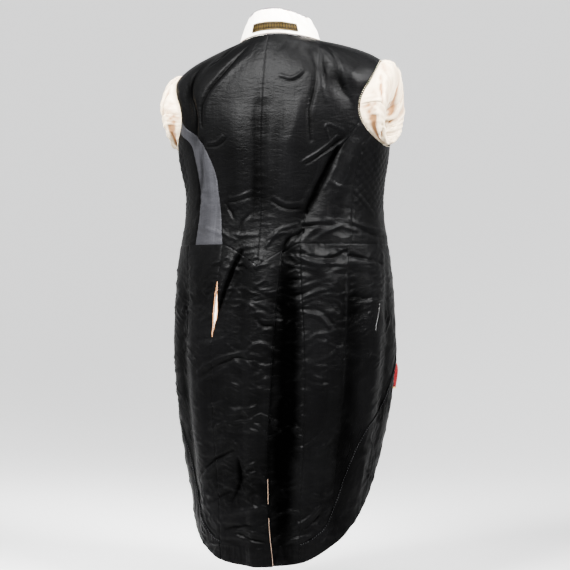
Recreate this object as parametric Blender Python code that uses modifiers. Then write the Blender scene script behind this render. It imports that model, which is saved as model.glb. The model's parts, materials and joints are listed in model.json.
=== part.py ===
"""A diplomatic tailcoat turned inside out and filled out as it is worn, with no wearer.

Metres, +Z up, the wearer faces -Y, and the wearer's right is -X. The origin is the middle of the neck seam.
The coat's form is one surface, given by two numbers: the turn in degrees round the body, 0 at the centre
back and 180 at the centre front, positive towards the wearer's right, and the drop in metres below the
origin, measured at the side. Every panel is a wall cut from that surface along its seams.
"""

import math

import bmesh
import bpy
from mathutils import Vector

# Cloth
WALL = 0.0024
SEAM_GAP = 0.0005
SHOULDER_SEAM_GAP = 0.0010
SLEEVE_SEAM_GAP = 0.0022
LABEL_WALL = 0.0010
FACING_WALL = 0.0011

# Seams and edges, as drops in metres
NECK_DROP = 0.012
WAIST_DROP = 0.400
BACK_POINT = 0.043
FRONT_POINT = 0.045
SKIRT_FRONT_TURN = 150.0
SHOULDER_TILT = 0.038
TILT_FULL_DROP = 0.07
TILT_LAST_DROP = 0.27
GIRTH_SHARE = 0.88
BACK_RADIUS_SHARE = 0.75

# Armhole, an oval in turn and drop
ARMHOLE_TURN = 90.0
ARMHOLE_HALF_TURN = 39.0
ARMHOLE_TOP = 0.058
ARMHOLE_BOTTOM = 0.214
ARMHOLE_FADE = 0.35
# The front's top row turns into its armhole edge at this angle of the oval
FRONT_SPLIT_ANGLE = 235.0

# Grid of each panel
PANEL_ROWS = 9
SHOULDER_SPACING = 0.012
ARMHOLE_POINTS = 9
BACK_COLUMNS = 13
SIDE_BODY_COLUMNS = 6
FRONT_COLUMNS = 10
FRONT_EDGE_POINTS = 8
TAIL_SPACING = 0.025
POCKET_SPACING = 0.021
LOWER_TAIL_SPACING = 0.040
TAIL_COLUMNS = 8
PANEL_COLUMNS = 5
SKIRT_COLUMNS = 14
FACING_ROWS = 3
TURN_STEP = 0.2
DROP_STEP = 0.001

# The form: a section for each drop. The back and front drops are where that section
# reaches the centre back and centre front, and corner squares the section a little.
SECTION_COLUMNS = ("drop", "back_drop", "front_drop", "half_width", "back", "front", "corner")
SECTIONS = (
    (0.012, 0.000, 0.055, 0.078, 0.093, -0.035, 0.00),
    (0.024, 0.020, 0.075, 0.126, 0.105, -0.057, 0.01),
    (0.042, 0.052, 0.108, 0.174, 0.118, -0.078, 0.03),
    (0.062, 0.086, 0.138, 0.205, 0.127, -0.094, 0.05),
    (0.085, 0.114, 0.158, 0.218, 0.132, -0.103, 0.06),
    (0.110, 0.134, 0.174, 0.220, 0.135, -0.108, 0.06),
    (0.150, 0.166, 0.200, 0.217, 0.140, -0.117, 0.05),
    (0.200, 0.206, 0.226, 0.211, 0.143, -0.122, 0.04),
    (0.240, 0.241, 0.250, 0.206, 0.143, -0.125, 0.03),
    (0.290, 0.290, 0.292, 0.198, 0.142, -0.127, 0.02),
    (0.340, 0.340, 0.340, 0.1965, 0.141, -0.128, 0.02),
    (0.400, 0.400, 0.400, 0.2055, 0.148, -0.134, 0.01),
    (0.450, 0.450, 0.450, 0.2105, 0.158, -0.145, 0.00),
    (0.500, 0.500, 0.500, 0.2125, 0.163, -0.152, 0.00),
    (0.600, 0.600, 0.600, 0.2140, 0.168, -0.156, 0.00),
    (0.700, 0.700, 0.700, 0.2050, 0.168, -0.152, 0.00),
    (0.800, 0.800, 0.800, 0.1890, 0.165, -0.145, 0.00),
    (0.900, 0.900, 0.900, 0.1720, 0.162, -0.135, 0.00),
    (1.010, 1.010, 1.010, 0.1660, 0.160, -0.130, 0.00),
)

# Seam lines: the turn of each seam at a few drops, the wearer's right (1) and left (-1) as the cloth hangs.
# Each of the first two starts on the armhole's edge.
PRINCESS_SEAM = {
    1: (
        (0.165, 53.8), (0.185, 50.5), (0.210, 45.5), (0.240, 40.0), (0.275, 34.0), (0.320, 28.0),
        (0.400, 22.0),
    ),
    -1: (
        (0.150, 51.6), (0.166, 47.5), (0.186, 39.0), (0.218, 32.5), (0.265, 27.5), (0.312, 26.0),
        (0.400, 22.0),
    ),
}
SIDE_SEAM = {
    1: ((0.195, 64.5), (0.215, 59.0), (0.250, 56.0), (0.312, 55.5), (0.400, 52.5)),
    -1: ((0.176, 56.5), (0.196, 47.0), (0.218, 43.0), (0.265, 41.5), (0.312, 42.0), (0.400, 43.5)),
}
WAIST_TURN = 22.0
PLEAT_SEAM = ((0.400, 22.0), (0.480, 23.0), (0.600, 25.0), (0.800, 27.0), (1.010, 28.0))
SKIRT_SEAM = ((0.400, 51.0), (0.580, 48.5), (1.010, 49.5))
# The left tail laps over the right one at the vent: the turn of its free edge
VENT_EDGE = ((0.430, 12.5), (0.560, 9.5), (0.790, 7.0), (0.920, 8.0), (1.010, 11.0))
UNDERLAP_TURN = -1.5
TAIL_LIFT = 0.0062
TAIL_LIFT_TURNS = (-9.0, -2.0)
TAIL_SINK = 0.0030
TAIL_SINK_TURNS = (12.0, 20.0)

# The lower edge of the skirts: the drop at each turn, the same on both sides
HEM_COLUMNS = ("turn", "drop")
HEM = (
    (0.0, 1.004), (22.0, 0.999), (33.0, 0.991), (48.0, 0.969), (60.0, 0.948), (70.0, 0.922),
    (82.0, 0.885), (93.0, 0.828), (106.0, 0.750), (120.0, 0.655), (135.0, 0.545), (150.0, 0.420),
)
# The border facing: its height above the lower edge at each turn
FACING_COLUMNS = ("turn", "height")
FACING = (
    (28.0, 0.036), (38.0, 0.040), (47.0, 0.052), (53.0, 0.090), (60.0, 0.150), (68.0, 0.183), (90.0, 0.160),
    (110.0, 0.150),
)
FACING_SHARE = 0.6

# Folds, each a soft ridge (height over 0) or trough between two points of the form
FOLD_COLUMNS = ("turn_1", "drop_1", "turn_2", "drop_2", "half_width", "height")
FOLDS = (
    # Deep shaded line beside the vent, and the ridge of the right tail past it
    (17.0, 0.425, 16.0, 0.980, 0.020, -0.013),
    (31.0, 0.440, 33.0, 0.960, 0.030, 0.006),
    # Pleat folds from the back waist, left and right
    (-9.0, 0.425, -22.0, 0.550, 0.014, -0.007),
    (-15.0, 0.440, -26.0, 0.620, 0.022, 0.005),
    (24.0, 0.405, 40.0, 0.470, 0.016, 0.005),
    # Folds that hang in the skirts
    (-38.0, 0.560, -40.0, 0.940, 0.032, 0.006),
    (-52.0, 0.460, -56.0, 0.880, 0.024, -0.006),
    (-74.0, 0.440, -68.0, 0.900, 0.034, 0.006),
    (52.0, 0.460, 56.0, 0.900, 0.028, -0.006),
    (68.0, 0.440, 66.0, 0.880, 0.032, 0.005),
    (88.0, 0.460, 80.0, 0.820, 0.026, -0.005),
    (112.0, 0.440, 100.0, 0.740, 0.032, 0.006),
    (-96.0, 0.460, -88.0, 0.820, 0.028, -0.005),
    (-116.0, 0.440, -104.0, 0.720, 0.032, 0.006),
    # Drag lines of the back, from the neck to the armholes and the waist
    (30.0, 0.040, 50.0, 0.150, 0.014, -0.005),
    (38.0, 0.036, 56.0, 0.120, 0.016, 0.004),
    (-46.0, 0.050, -42.0, 0.200, 0.016, -0.006),
    (-60.0, 0.070, -66.0, 0.270, 0.020, 0.005),
    (-68.0, 0.090, -72.0, 0.300, 0.014, -0.006),
    (43.0, 0.210, 22.0, 0.370, 0.016, -0.005),
    (52.0, 0.220, 34.0, 0.370, 0.018, 0.005),
    (0.0, 0.120, 0.0, 0.380, 0.016, -0.003),
    (14.0, 0.120, 10.0, 0.360, 0.020, 0.003),
    (-14.0, 0.130, -10.0, 0.360, 0.020, 0.003),
    # Folds of the fronts
    (140.0, 0.120, 156.0, 0.380, 0.026, 0.005),
    (-140.0, 0.130, -154.0, 0.380, 0.026, 0.005),
    (128.0, 0.240, 120.0, 0.390, 0.020, -0.005),
    (-128.0, 0.240, -118.0, 0.390, 0.020, -0.005),
)

# Sleeves: rings outwards from the armhole, over the puff and back through its mouth
PUFF_COLUMNS = ("scale", "out", "sink")
PUFF = (
    (0.950, 0.001, 0.000),
    (0.965, 0.012, -0.001),
    (0.975, 0.022, -0.002),
    (0.92, 0.035, 0.000),
    (0.80, 0.041, 0.007),
    (0.64, 0.038, 0.016),
    (0.50, 0.024, 0.028),
    (0.44, 0.006, 0.032),
    (0.42, -0.016, 0.032),
)
PUFF_FULLNESS = 0.56
PUFF_GATHERS = 9
PUFF_GATHER_DEPTH = 0.0060
# The puff is flat across the arm from this scale in, or this far out
PUFF_FLAT_SCALE = 0.6
PUFF_FLAT_OUT = 0.02
SLEEVE_SIDES = 36
# The turned-in length lies flat along the inside of the coat
SLEEVE_COLUMNS = ("drop", "turn", "half_width", "half_depth", "inset")
SLEEVE = (
    (0.215, 92.0, 0.056, 0.018, 0.040),
    (0.280, 98.0, 0.064, 0.015, 0.034),
    (0.350, 107.0, 0.066, 0.014, 0.031),
    (0.420, 118.0, 0.064, 0.013, 0.029),
    (0.480, 129.0, 0.060, 0.013, 0.026),
    (0.540, 140.0, 0.053, 0.013, 0.023),
    (0.590, 146.0, 0.052, 0.013, 0.012),
)
# The cuff goes on from there and shows at the coat's open front
CUFF = (
    (0.591, 146.0, 0.052, 0.013, 0.012),
    (0.612, 146.5, 0.056, 0.013, -0.010),
    (0.632, 143.0, 0.060, 0.013, -0.028),
    (0.676, 142.0, 0.060, 0.012, -0.026),
)

CUFF_SIDES = 24

# Collar
COLLAR_TOP = {"half_width": 0.059, "back": 0.086, "front": -0.031}
COLLAR_RISE = {"back": 0.050, "side": 0.035, "front": -0.004}
COLLAR_BULGE = 0.002
COLLAR_ROWS = 4
COLLAR_SIDES = 48
COLLAR_FRONT_TURN = 177.0
LABEL_TURNS = (-28.0, 43.0)
LABEL_SPAN = (0.14, 0.47)
LABEL_COLUMNS = 10
LABEL_ROWS = 3

# Pocket: the slit in the left pleat seam and the cloth of the bag behind it
POCKET_TOP = 0.475
POCKET_BOTTOM = 0.580
POCKET_GAPE = 0.0090
POCKET_BAG_LIP_TURN = 4.0
POCKET_BAG_COLUMNS = 3
POCKET_BAG_GAP = 0.0012
# Front buttons, on the inner face because the coat is inside out
BUTTON_COUNT = 8
BUTTON_RADIUS = 0.0115
BUTTON_FIRST_DROP = 0.085
BUTTON_LAST_DROP = 0.395
BUTTON_TURN = -175.0
BUTTON_SHANK_RADIUS = 0.0020
BUTTON_SHANK = 0.0036
BUTTON_EDGE = 0.0012
BUTTON_DOME = 0.0048
BUTTON_SIDES = 10

SATIN = ("lining_satin", (0.018, 0.018, 0.021), 0.32, 0.0)
SATIN_SIDE = ("side_satin", (0.060, 0.060, 0.068), 0.34, 0.0)
CREAM = ("sleeve_lining", (0.80, 0.72, 0.58), 0.60, 0.0)
COLLAR_LINING = ("collar_lining", (0.86, 0.80, 0.72), 0.65, 0.0)
LABEL_CLOTH = ("label_weave", (0.06, 0.045, 0.02), 0.55, 0.0)
CUFF_CLOTH = ("cuff_cloth", (0.35, 0.02, 0.04), 0.85, 0.0)
GILT = ("gilt", (0.80, 0.60, 0.25), 0.30, 1.0)


def table_value(table, columns, name, at):
    """A smooth value of one column of a table whose first column rises."""
    column = columns.index(name)
    keys = [row[0] for row in table]
    values = [row[column] for row in table]
    if at <= keys[0]:
        return values[0]
    if at >= keys[-1]:
        return values[-1]
    i = max(k for k in range(len(keys) - 1) if keys[k] <= at)

    def slope(k):
        low, high = max(k - 1, 0), min(k + 1, len(keys) - 1)
        return (values[high] - values[low]) / (keys[high] - keys[low])

    span = keys[i + 1] - keys[i]
    x = (at - keys[i]) / span
    return (
        (2 * x**3 - 3 * x**2 + 1) * values[i]
        + (x**3 - 2 * x**2 + x) * span * slope(i)
        + (3 * x**2 - 2 * x**3) * values[i + 1]
        + (x**3 - x**2) * span * slope(i + 1)
    )


def clamp(value):
    return min(1.0, max(0.0, value))


def soft_step(value):
    """0 below 0, 1 over 1 and smooth between."""
    share = clamp(value)
    return share * share * (3 - 2 * share)


def seam_turn(seam, drop):
    return table_value(seam, ("drop", "turn"), "turn", drop)


def hem_drop(turn):
    return table_value(HEM, HEM_COLUMNS, "drop", abs(turn))


def waist_drop(turn):
    """The waist seam dips to a point at the centre back and at the centre front."""
    back = max(0.0, 1.0 - abs(turn) / WAIST_TURN)
    front = max(0.0, (abs(turn) - 120.0) / 60.0)
    return WAIST_DROP + BACK_POINT * back**1.3 + FRONT_POINT * front**1.5


def ellipse_point(turn, half_width, back, front, corner=0.0):
    angle = math.radians(turn)
    centre = (back + front) / 2
    swell = 1.0 + corner * math.sin(2 * angle) ** 2
    x = -half_width * math.sin(angle) * swell
    y = centre + (back - front) / 2 * math.cos(angle) * swell
    return x, y


def base_point(turn, drop):
    """A point of the coat's smooth form."""
    row = {name: table_value(SECTIONS, SECTION_COLUMNS, name, drop) for name in SECTION_COLUMNS[1:]}
    x, y = ellipse_point(turn, row["half_width"], row["back"], row["front"], row["corner"])
    toward = math.cos(math.radians(turn)) ** 2
    end = row["back_drop"] if math.cos(math.radians(turn)) > 0 else row["front_drop"]
    z = -(drop * (1 - toward) + end * toward)
    fade = soft_step((TILT_LAST_DROP - drop) / (TILT_LAST_DROP - TILT_FULL_DROP))
    return Vector((x, y, z - SHOULDER_TILT * x * fade))


def base_normal(turn, drop):
    across = base_point(turn + TURN_STEP, drop) - base_point(turn - TURN_STEP, drop)
    down = base_point(turn, drop + DROP_STEP) - base_point(turn, drop - DROP_STEP)
    return down.cross(across).normalized()


def turn_length(drop):
    """About how far one degree of turn goes at a drop."""
    return math.radians(table_value(SECTIONS, SECTION_COLUMNS, "half_width", drop) * GIRTH_SHARE)


def fold_height(turn, drop):
    """How far the folds lift a point of the form."""
    metres_per_degree = turn_length(drop)
    total = 0.0
    for row in FOLDS:
        fold = dict(zip(FOLD_COLUMNS, row))
        ax, ay = fold["turn_1"] * metres_per_degree, fold["drop_1"]
        bx, by = fold["turn_2"] * metres_per_degree, fold["drop_2"]
        px, py = turn * metres_per_degree, drop
        length_2 = (bx - ax) ** 2 + (by - ay) ** 2
        along = ((px - ax) * (bx - ax) + (py - ay) * (by - ay)) / length_2
        near = clamp(along)
        away = math.hypot(px - ax - near * (bx - ax), py - ay - near * (by - ay))
        taper = math.sin(math.pi * (0.12 + 0.76 * near)) ** 0.7
        total += fold["height"] * taper * math.exp(-((away / fold["half_width"]) ** 2))
    return total


def edge_fade(turn, drop):
    """Folds die out at the neck, at the armholes and at the centre front."""
    neck = clamp((drop - NECK_DROP) / 0.030)
    front = clamp((180.0 - abs(turn)) / 12.0)
    turn_share = (abs(turn) - ARMHOLE_TURN) / ARMHOLE_HALF_TURN
    middle, half = armhole_middle()
    drop_share = (drop - middle) / half
    armhole = clamp((math.hypot(turn_share, drop_share) - 1.0) / ARMHOLE_FADE)
    return neck * front * armhole


def cloth_point(turn, drop, out=0.0):
    """A point of the folded cloth's middle, moved out by a distance."""
    lift = fold_height(turn, drop) * edge_fade(turn, drop)
    return base_point(turn, drop) + base_normal(turn, drop) * (lift + out)


def armhole_middle():
    return (ARMHOLE_TOP + ARMHOLE_BOTTOM) / 2, (ARMHOLE_BOTTOM - ARMHOLE_TOP) / 2


def armhole_point(angle):
    """Turn and drop on the armhole's oval: 0 at the top, 90 at its back, 180 at the bottom."""
    middle, half = armhole_middle()
    turn = ARMHOLE_TURN - ARMHOLE_HALF_TURN * math.sin(math.radians(angle))
    drop = middle - half * math.cos(math.radians(angle))
    return turn, drop


def armhole_angle(drop):
    middle, half = armhole_middle()
    return math.degrees(math.acos(max(-1.0, min(1.0, (middle - drop) / half))))


def gap_turn(drop, gap=SEAM_GAP):
    """Half of a seam's gap as a turn."""
    radius = table_value(SECTIONS, SECTION_COLUMNS, "half_width", drop)
    return math.degrees(gap / 2 / (radius * BACK_RADIUS_SHARE))


def make_material(finish):
    name, colour, roughness, metallic = finish
    material = bpy.data.materials.get(name)
    if material is None:
        material = bpy.data.materials.new(name)
        material.use_nodes = True
        shader = material.node_tree.nodes["Principled BSDF"]
        shader.inputs["Base Color"].default_value = (*colour, 1.0)
        shader.inputs["Roughness"].default_value = roughness
        shader.inputs["Metallic"].default_value = metallic
    return material


def add_object(name, mesh, finish, group):
    mesh.materials.clear()
    mesh.materials.append(make_material(finish))
    mesh.shade_smooth()
    mesh.set_sharp_from_angle(angle=math.radians(50))
    piece = bpy.data.objects.new(name, mesh)
    group.objects.link(piece)
    return piece


def cloth_wall(name, blocks, place, wall, finish, group, closed=False):
    """A wall of cloth: an open surface over blocks of grid points that share their edges, made solid.

    Each block is rows of keys, place(key) is a key's point in the cloth's middle, and closed joins
    the last column to the first.
    """
    surface = bmesh.new()
    corners = {}

    def corner(key):
        mark = tuple(round(value, 5) for value in key)
        if mark not in corners:
            corners[mark] = surface.verts.new(place(key))
        return corners[mark]

    for rows in blocks:
        for upper, lower in zip(rows, rows[1:]):
            for j in range(len(upper) if closed else len(upper) - 1):
                k = (j + 1) % len(upper)
                first, last = corner(upper[j]), corner(lower[k])
                for middle, order in ((corner(lower[j]), 1), (corner(upper[k]), -1)):
                    if len({first, middle, last}) == 3:
                        surface.faces.new((first, middle, last)[::order])
    bmesh.ops.recalc_face_normals(surface, faces=surface.faces[:])
    mesh = bpy.data.meshes.new(name)
    surface.to_mesh(mesh)
    surface.free()
    piece = add_object(name, mesh, finish, group)
    shell = piece.modifiers.new("wall", "SOLIDIFY")
    shell.thickness = wall
    shell.offset = 0.0
    return piece


def on_form(side, out=0.0):
    """Places on the form for keys of turn and drop: side is 1 at the wearer's right, -1 at the left."""

    def place(key):
        turn, drop = key
        away = out(turn * side) if callable(out) else out
        return cloth_point(turn * side, drop, away)

    return place


def spread(low, high, count):
    return [low + (high - low) * i / (count - 1) for i in range(count)]


def drops_between(top, bottom, spacing):
    return spread(top, bottom, max(2, round((bottom - top) / spacing) + 1))


def seam_side(side):
    return "right" if side > 0 else "left"


def build_back(side, group):
    """Back panel: centre seam to shoulder, armhole and princess seam, down to the pointed waist."""
    seam = PRINCESS_SEAM[side]
    seam_top = seam[0][0]
    angles = spread(0.0, armhole_angle(seam_top), ARMHOLE_POINTS)[1:-1]
    drops = drops_between(NECK_DROP, ARMHOLE_TOP, SHOULDER_SPACING)
    drops += [armhole_point(angle)[1] for angle in angles]
    drops += spread(seam_top, WAIST_DROP, PANEL_ROWS)
    rows = []
    for drop in drops:
        if drop <= ARMHOLE_TOP:
            outer = ARMHOLE_TURN - gap_turn(drop, SHOULDER_SEAM_GAP)
        elif drop < seam_top:
            outer = armhole_point(armhole_angle(drop))[0]
        else:
            outer = seam_turn(seam, drop) - gap_turn(drop)
        share = max(0.0, (drop - seam_top) / (WAIST_DROP - seam_top))
        row = []
        for turn in spread(gap_turn(drop), outer, BACK_COLUMNS):
            fall = (waist_drop(turn) - WAIST_DROP) * share
            row.append((turn, drop + fall - SEAM_GAP / 2 * share))
        rows.append(row)
    cloth_wall(f"back_{seam_side(side)}", [rows], on_form(side), WALL, SATIN, group)


def build_side_body(side, group):
    """Side body: between the princess seam and the side seam, with its top on the armhole's edge."""
    back_seam, side_seam = PRINCESS_SEAM[side], SIDE_SEAM[side]
    back_top, side_top = back_seam[0][0], side_seam[0][0]
    rows = []
    for share in spread(0.0, 1.0, PANEL_ROWS):
        row = []
        back_drop = back_top + (WAIST_DROP - back_top) * share
        side_drop = side_top + (WAIST_DROP - side_top) * share
        low = seam_turn(back_seam, back_drop) + gap_turn(back_drop)
        high = seam_turn(side_seam, side_drop) - gap_turn(side_drop)
        for reach in spread(0.0, 1.0, SIDE_BODY_COLUMNS):
            angle = armhole_angle(back_top) + (armhole_angle(side_top) - armhole_angle(back_top)) * reach
            edge_turn, edge_drop = armhole_point(angle)
            straight_turn = back_seam[0][1] + (side_seam[0][1] - back_seam[0][1]) * reach
            straight_drop = back_top + (side_top - back_top) * reach
            bend = (1 - share) ** 3
            turn = low + (high - low) * reach + (edge_turn - straight_turn) * bend
            drop = back_drop + (side_drop - back_drop) * reach + (edge_drop - straight_drop) * bend
            row.append((turn, drop - SEAM_GAP / 2 * share))
        rows.append(row)
    cloth_wall(f"side_body_{seam_side(side)}", [rows], on_form(side), WALL, SATIN_SIDE, group)


def build_front(side, group):
    """Front panel: shoulder, neck and centre front, round under the armhole to the side seam."""
    seam = SIDE_SEAM[side]
    seam_top = seam[0][0]
    front_edge = 180.0 - gap_turn(WAIST_DROP)
    upper = []
    for drop in drops_between(NECK_DROP, ARMHOLE_TOP, SHOULDER_SPACING)[:-1]:
        shoulder = ARMHOLE_TURN + gap_turn(drop, SHOULDER_SEAM_GAP)
        upper.append([(turn, drop) for turn in spread(shoulder, front_edge, FRONT_COLUMNS)])
    for angle in spread(360.0, FRONT_SPLIT_ANGLE, FRONT_EDGE_POINTS):
        edge, drop = armhole_point(angle)
        upper.append([(turn, drop) for turn in spread(edge + gap_turn(drop), front_edge, FRONT_COLUMNS)])
    under_angles = spread(armhole_angle(seam_top), FRONT_SPLIT_ANGLE, FRONT_EDGE_POINTS)[:-1]
    under_arm = [armhole_point(angle) for angle in under_angles]
    under_arm[0] = (under_arm[0][0] + gap_turn(seam_top), under_arm[0][1])
    top_line = under_arm + upper[-1]
    waist_start = seam_turn(seam, WAIST_DROP) + gap_turn(WAIST_DROP)
    lower = [top_line]
    for share in spread(0.0, 1.0, PANEL_ROWS)[1:]:
        row = []
        for j, (turn, drop) in enumerate(top_line):
            reach = (turn - top_line[0][0]) / (front_edge - top_line[0][0])
            bottom_turn = waist_start + (front_edge - waist_start) * reach
            here_drop = drop + (waist_drop(bottom_turn) - SEAM_GAP / 2 - drop) * share
            here_turn = turn + (bottom_turn - turn) * share
            if j == 0:
                here_drop = seam_top + (WAIST_DROP - seam_top) * share - SEAM_GAP / 2 * share
                here_turn = seam_turn(seam, here_drop) + gap_turn(here_drop)
            row.append((here_turn, here_drop))
        lower.append(row)
    cloth_wall(f"front_{seam_side(side)}", [upper, lower], on_form(side), WALL, SATIN, group)


def pocket_gape(side, drop):
    """Half the width of the left pocket slit as a turn, nought above and below it."""
    share = (drop - POCKET_TOP) / (POCKET_BOTTOM - POCKET_TOP)
    if side > 0 or not 0.0 < share < 1.0:
        return 0.0
    radius = table_value(SECTIONS, SECTION_COLUMNS, "back", drop)
    return math.degrees(POCKET_GAPE / 2 / radius) * math.sin(math.pi * share)


def tail_lift(turn):
    """The left tail stands out over the right one where it laps across the vent."""
    return TAIL_LIFT * soft_step((turn - TAIL_LIFT_TURNS[0]) / (TAIL_LIFT_TURNS[1] - TAIL_LIFT_TURNS[0]))


def tail_sink(turn):
    """The right tail lies in behind the left one."""
    return -TAIL_SINK * soft_step((TAIL_SINK_TURNS[1] - turn) / (TAIL_SINK_TURNS[1] - TAIL_SINK_TURNS[0]))


def tail_drops():
    """Drops of the rows down the pleat seam, closer at the pocket slit."""
    last = HEM[0][1] - FACING[0][1]
    return (
        drops_between(WAIST_DROP, POCKET_TOP, TAIL_SPACING)[:-1]
        + drops_between(POCKET_TOP, POCKET_BOTTOM, POCKET_SPACING)[:-1]
        + drops_between(POCKET_BOTTOM, last, LOWER_TAIL_SPACING)
    )


def hang_drop(turn, row):
    """The drop of a point of the skirts: even rows down to the facing, then close rows to the hem."""
    top = waist_drop(turn) + SEAM_GAP / 2
    length = hem_drop(turn) - top
    band = min(table_value(FACING, FACING_COLUMNS, "height", abs(turn)), length * FACING_SHARE)
    drops = tail_drops()
    free = len(drops) - 1
    if row <= free:
        share = (drops[row] - WAIST_DROP) / (drops[-1] - WAIST_DROP)
        return top + (length - band) * share
    return top + length - band * (1 - (row - free) / FACING_ROWS)


def hang_rows(first, last, columns):
    """Rows of keys from waist seam to hem: first and last give a row's end turns from its drop."""
    rows = []
    drops = tail_drops()
    drops += spread(drops[-1], HEM[0][1], FACING_ROWS + 1)[1:]
    for row, drop in enumerate(drops):
        rows.append([(turn, hang_drop(turn, row)) for turn in spread(first(drop), last(drop), columns)])
    return rows


def pleat_turn(side, drop, way):
    """Turn of a panel's edge at the pleat seam: way is 1 for the skirt and -1 for the tail."""
    return seam_turn(PLEAT_SEAM, drop) + way * (gap_turn(drop) + pocket_gape(side, drop))


def skirt_rows(side):
    """Rows of the whole skirt: the panel beside the pleat seam, then the part round to the cutaway."""

    def beside_pleat(drop):
        return pleat_turn(side, drop, 1)

    def before_seam(drop):
        return seam_turn(SKIRT_SEAM, drop) - gap_turn(drop)

    def after_seam(drop):
        return seam_turn(SKIRT_SEAM, drop) + gap_turn(drop)

    def cutaway(drop):
        return SKIRT_FRONT_TURN

    panel = hang_rows(beside_pleat, before_seam, PANEL_COLUMNS)
    rest = hang_rows(after_seam, cutaway, SKIRT_COLUMNS)
    return [first + last for first, last in zip(panel, rest)]


def build_tail(side, group):
    """Centre back tail. The left one carries the vent's lap, the right one lies under it."""

    def inner(drop):
        # On the left the lap's edge is a negative turn, past the centre back
        return UNDERLAP_TURN if side > 0 else -seam_turn(VENT_EDGE, drop)

    rows = hang_rows(inner, lambda drop: pleat_turn(side, drop, -1), TAIL_COLUMNS)
    lift = tail_sink if side > 0 else tail_lift
    cloth_wall(f"tail_{seam_side(side)}", [rows], on_form(side, lift), WALL, SATIN, group)


def build_skirt(side, group):
    """Skirt: a panel beside the pleat seam, and the part that goes round the hip to the cutaway edge."""
    panel = [row[:PANEL_COLUMNS] for row in skirt_rows(side)]
    rest = [row[PANEL_COLUMNS:] for row in skirt_rows(side)]
    cloth_wall(f"skirt_panel_{seam_side(side)}", [panel], on_form(side), WALL, SATIN, group)
    cloth_wall(f"skirt_front_{seam_side(side)}", [rest], on_form(side), WALL, SATIN, group)


def collar_point(turn, share):
    """A point of the stand collar's middle: share is 0 at the neck seam and 1 at the top edge."""
    base = base_point(turn, NECK_DROP) + Vector((0, 0, WALL / 2 + SEAM_GAP))
    x, y = ellipse_point(turn, **COLLAR_TOP)
    toward = math.cos(math.radians(turn)) ** 2
    end = COLLAR_RISE["back" if abs(turn) < 90 else "front"]
    top = Vector((x, y, COLLAR_RISE["side"] * (1 - toward) + end * toward))
    outward = Vector((x, y - (COLLAR_TOP["back"] + COLLAR_TOP["front"]) / 2, 0)).normalized()
    return base.lerp(top, share) + outward * COLLAR_BULGE * math.sin(math.pi * share)


def collar_normal(turn, share):
    across = collar_point(turn + TURN_STEP, share) - collar_point(turn - TURN_STEP, share)
    up = collar_point(turn, share + DROP_STEP) - collar_point(turn, share - DROP_STEP)
    return across.cross(up).normalized()


def build_collar(group):
    """Stand collar: one wall on the neck seam, open at the centre front, and the label sewn on it."""

    def on_collar(out):
        return lambda key: collar_point(*key) + collar_normal(*key) * out

    turns = spread(-COLLAR_FRONT_TURN, COLLAR_FRONT_TURN, COLLAR_SIDES)
    rows = [[(turn, share) for turn in turns] for share in spread(1.0, 0.0, COLLAR_ROWS)]
    cloth_wall("collar", [rows], on_collar(0.0), WALL, COLLAR_LINING, group)
    out = WALL / 2 + SEAM_GAP + LABEL_WALL / 2
    turns = spread(*LABEL_TURNS, LABEL_COLUMNS)
    rows = [[(turn, share) for turn in turns] for share in spread(*LABEL_SPAN[::-1], LABEL_ROWS)]
    cloth_wall("neck_label", [rows], on_collar(out), LABEL_WALL, LABEL_CLOTH, group)


def armhole_frame(side):
    """Centre of the armhole and its directions: out, up and back."""
    points = [base_point(side * armhole_point(a)[0], armhole_point(a)[1]) for a in range(0, 360, 15)]
    centre = sum(points, Vector()) / len(points)
    up = (points[0] - points[12]).normalized()
    back = (points[6] - points[18]).normalized()
    out = up.cross(back) if side > 0 else back.cross(up)
    return centre, out.normalized()


def puff_ring(side, row, angle):
    """A point of the sleeve's middle on the puff, at an angle round the armhole."""
    puff = dict(zip(PUFF_COLUMNS, row))
    centre, out = armhole_frame(side)
    turn, drop = armhole_point(angle)
    edge = base_point(side * turn, drop)
    offset = (edge - centre) * puff["scale"]
    flatness = 1.0 if puff["scale"] < PUFF_FLAT_SCALE else clamp(puff["out"] / PUFF_FLAT_OUT)
    flat = offset - out * offset.dot(out) * flatness
    gather = PUFF_GATHER_DEPTH * math.cos(math.radians(PUFF_GATHERS * angle)) * (1.0 - puff["scale"])
    flat += flat.normalized() * gather
    reach = puff["out"] * (1.0 - PUFF_FULLNESS * (1.0 - math.cos(math.radians(angle))) / 2)
    return centre + flat + out * reach - Vector((0, 0, puff["sink"]))


def sleeve_ring(side, row, angle):
    """A point of the flat, turned-in length: an oval that lies along the coat's inside."""
    sleeve = dict(zip(SLEEVE_COLUMNS, row))
    across = -sleeve["half_width"] * math.sin(math.radians(angle))
    depth = -sleeve["half_depth"] * math.cos(math.radians(angle))
    turn = side * (sleeve["turn"] + across / turn_length(sleeve["drop"]))
    return base_point(turn, sleeve["drop"]) + base_normal(turn, sleeve["drop"]) * (depth - sleeve["inset"])


def sleeve_path(side):
    """Rings of the sleeve's middle: from the armhole over the puff, and back inside to the cuff."""
    angles = spread(0.0, 360.0, SLEEVE_SIDES + 1)[:-1]
    rings = [[puff_ring(side, row, angle) for angle in angles] for row in PUFF]
    rings += [[sleeve_ring(side, row, angle) for angle in angles] for row in SLEEVE]
    return rings


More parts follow.
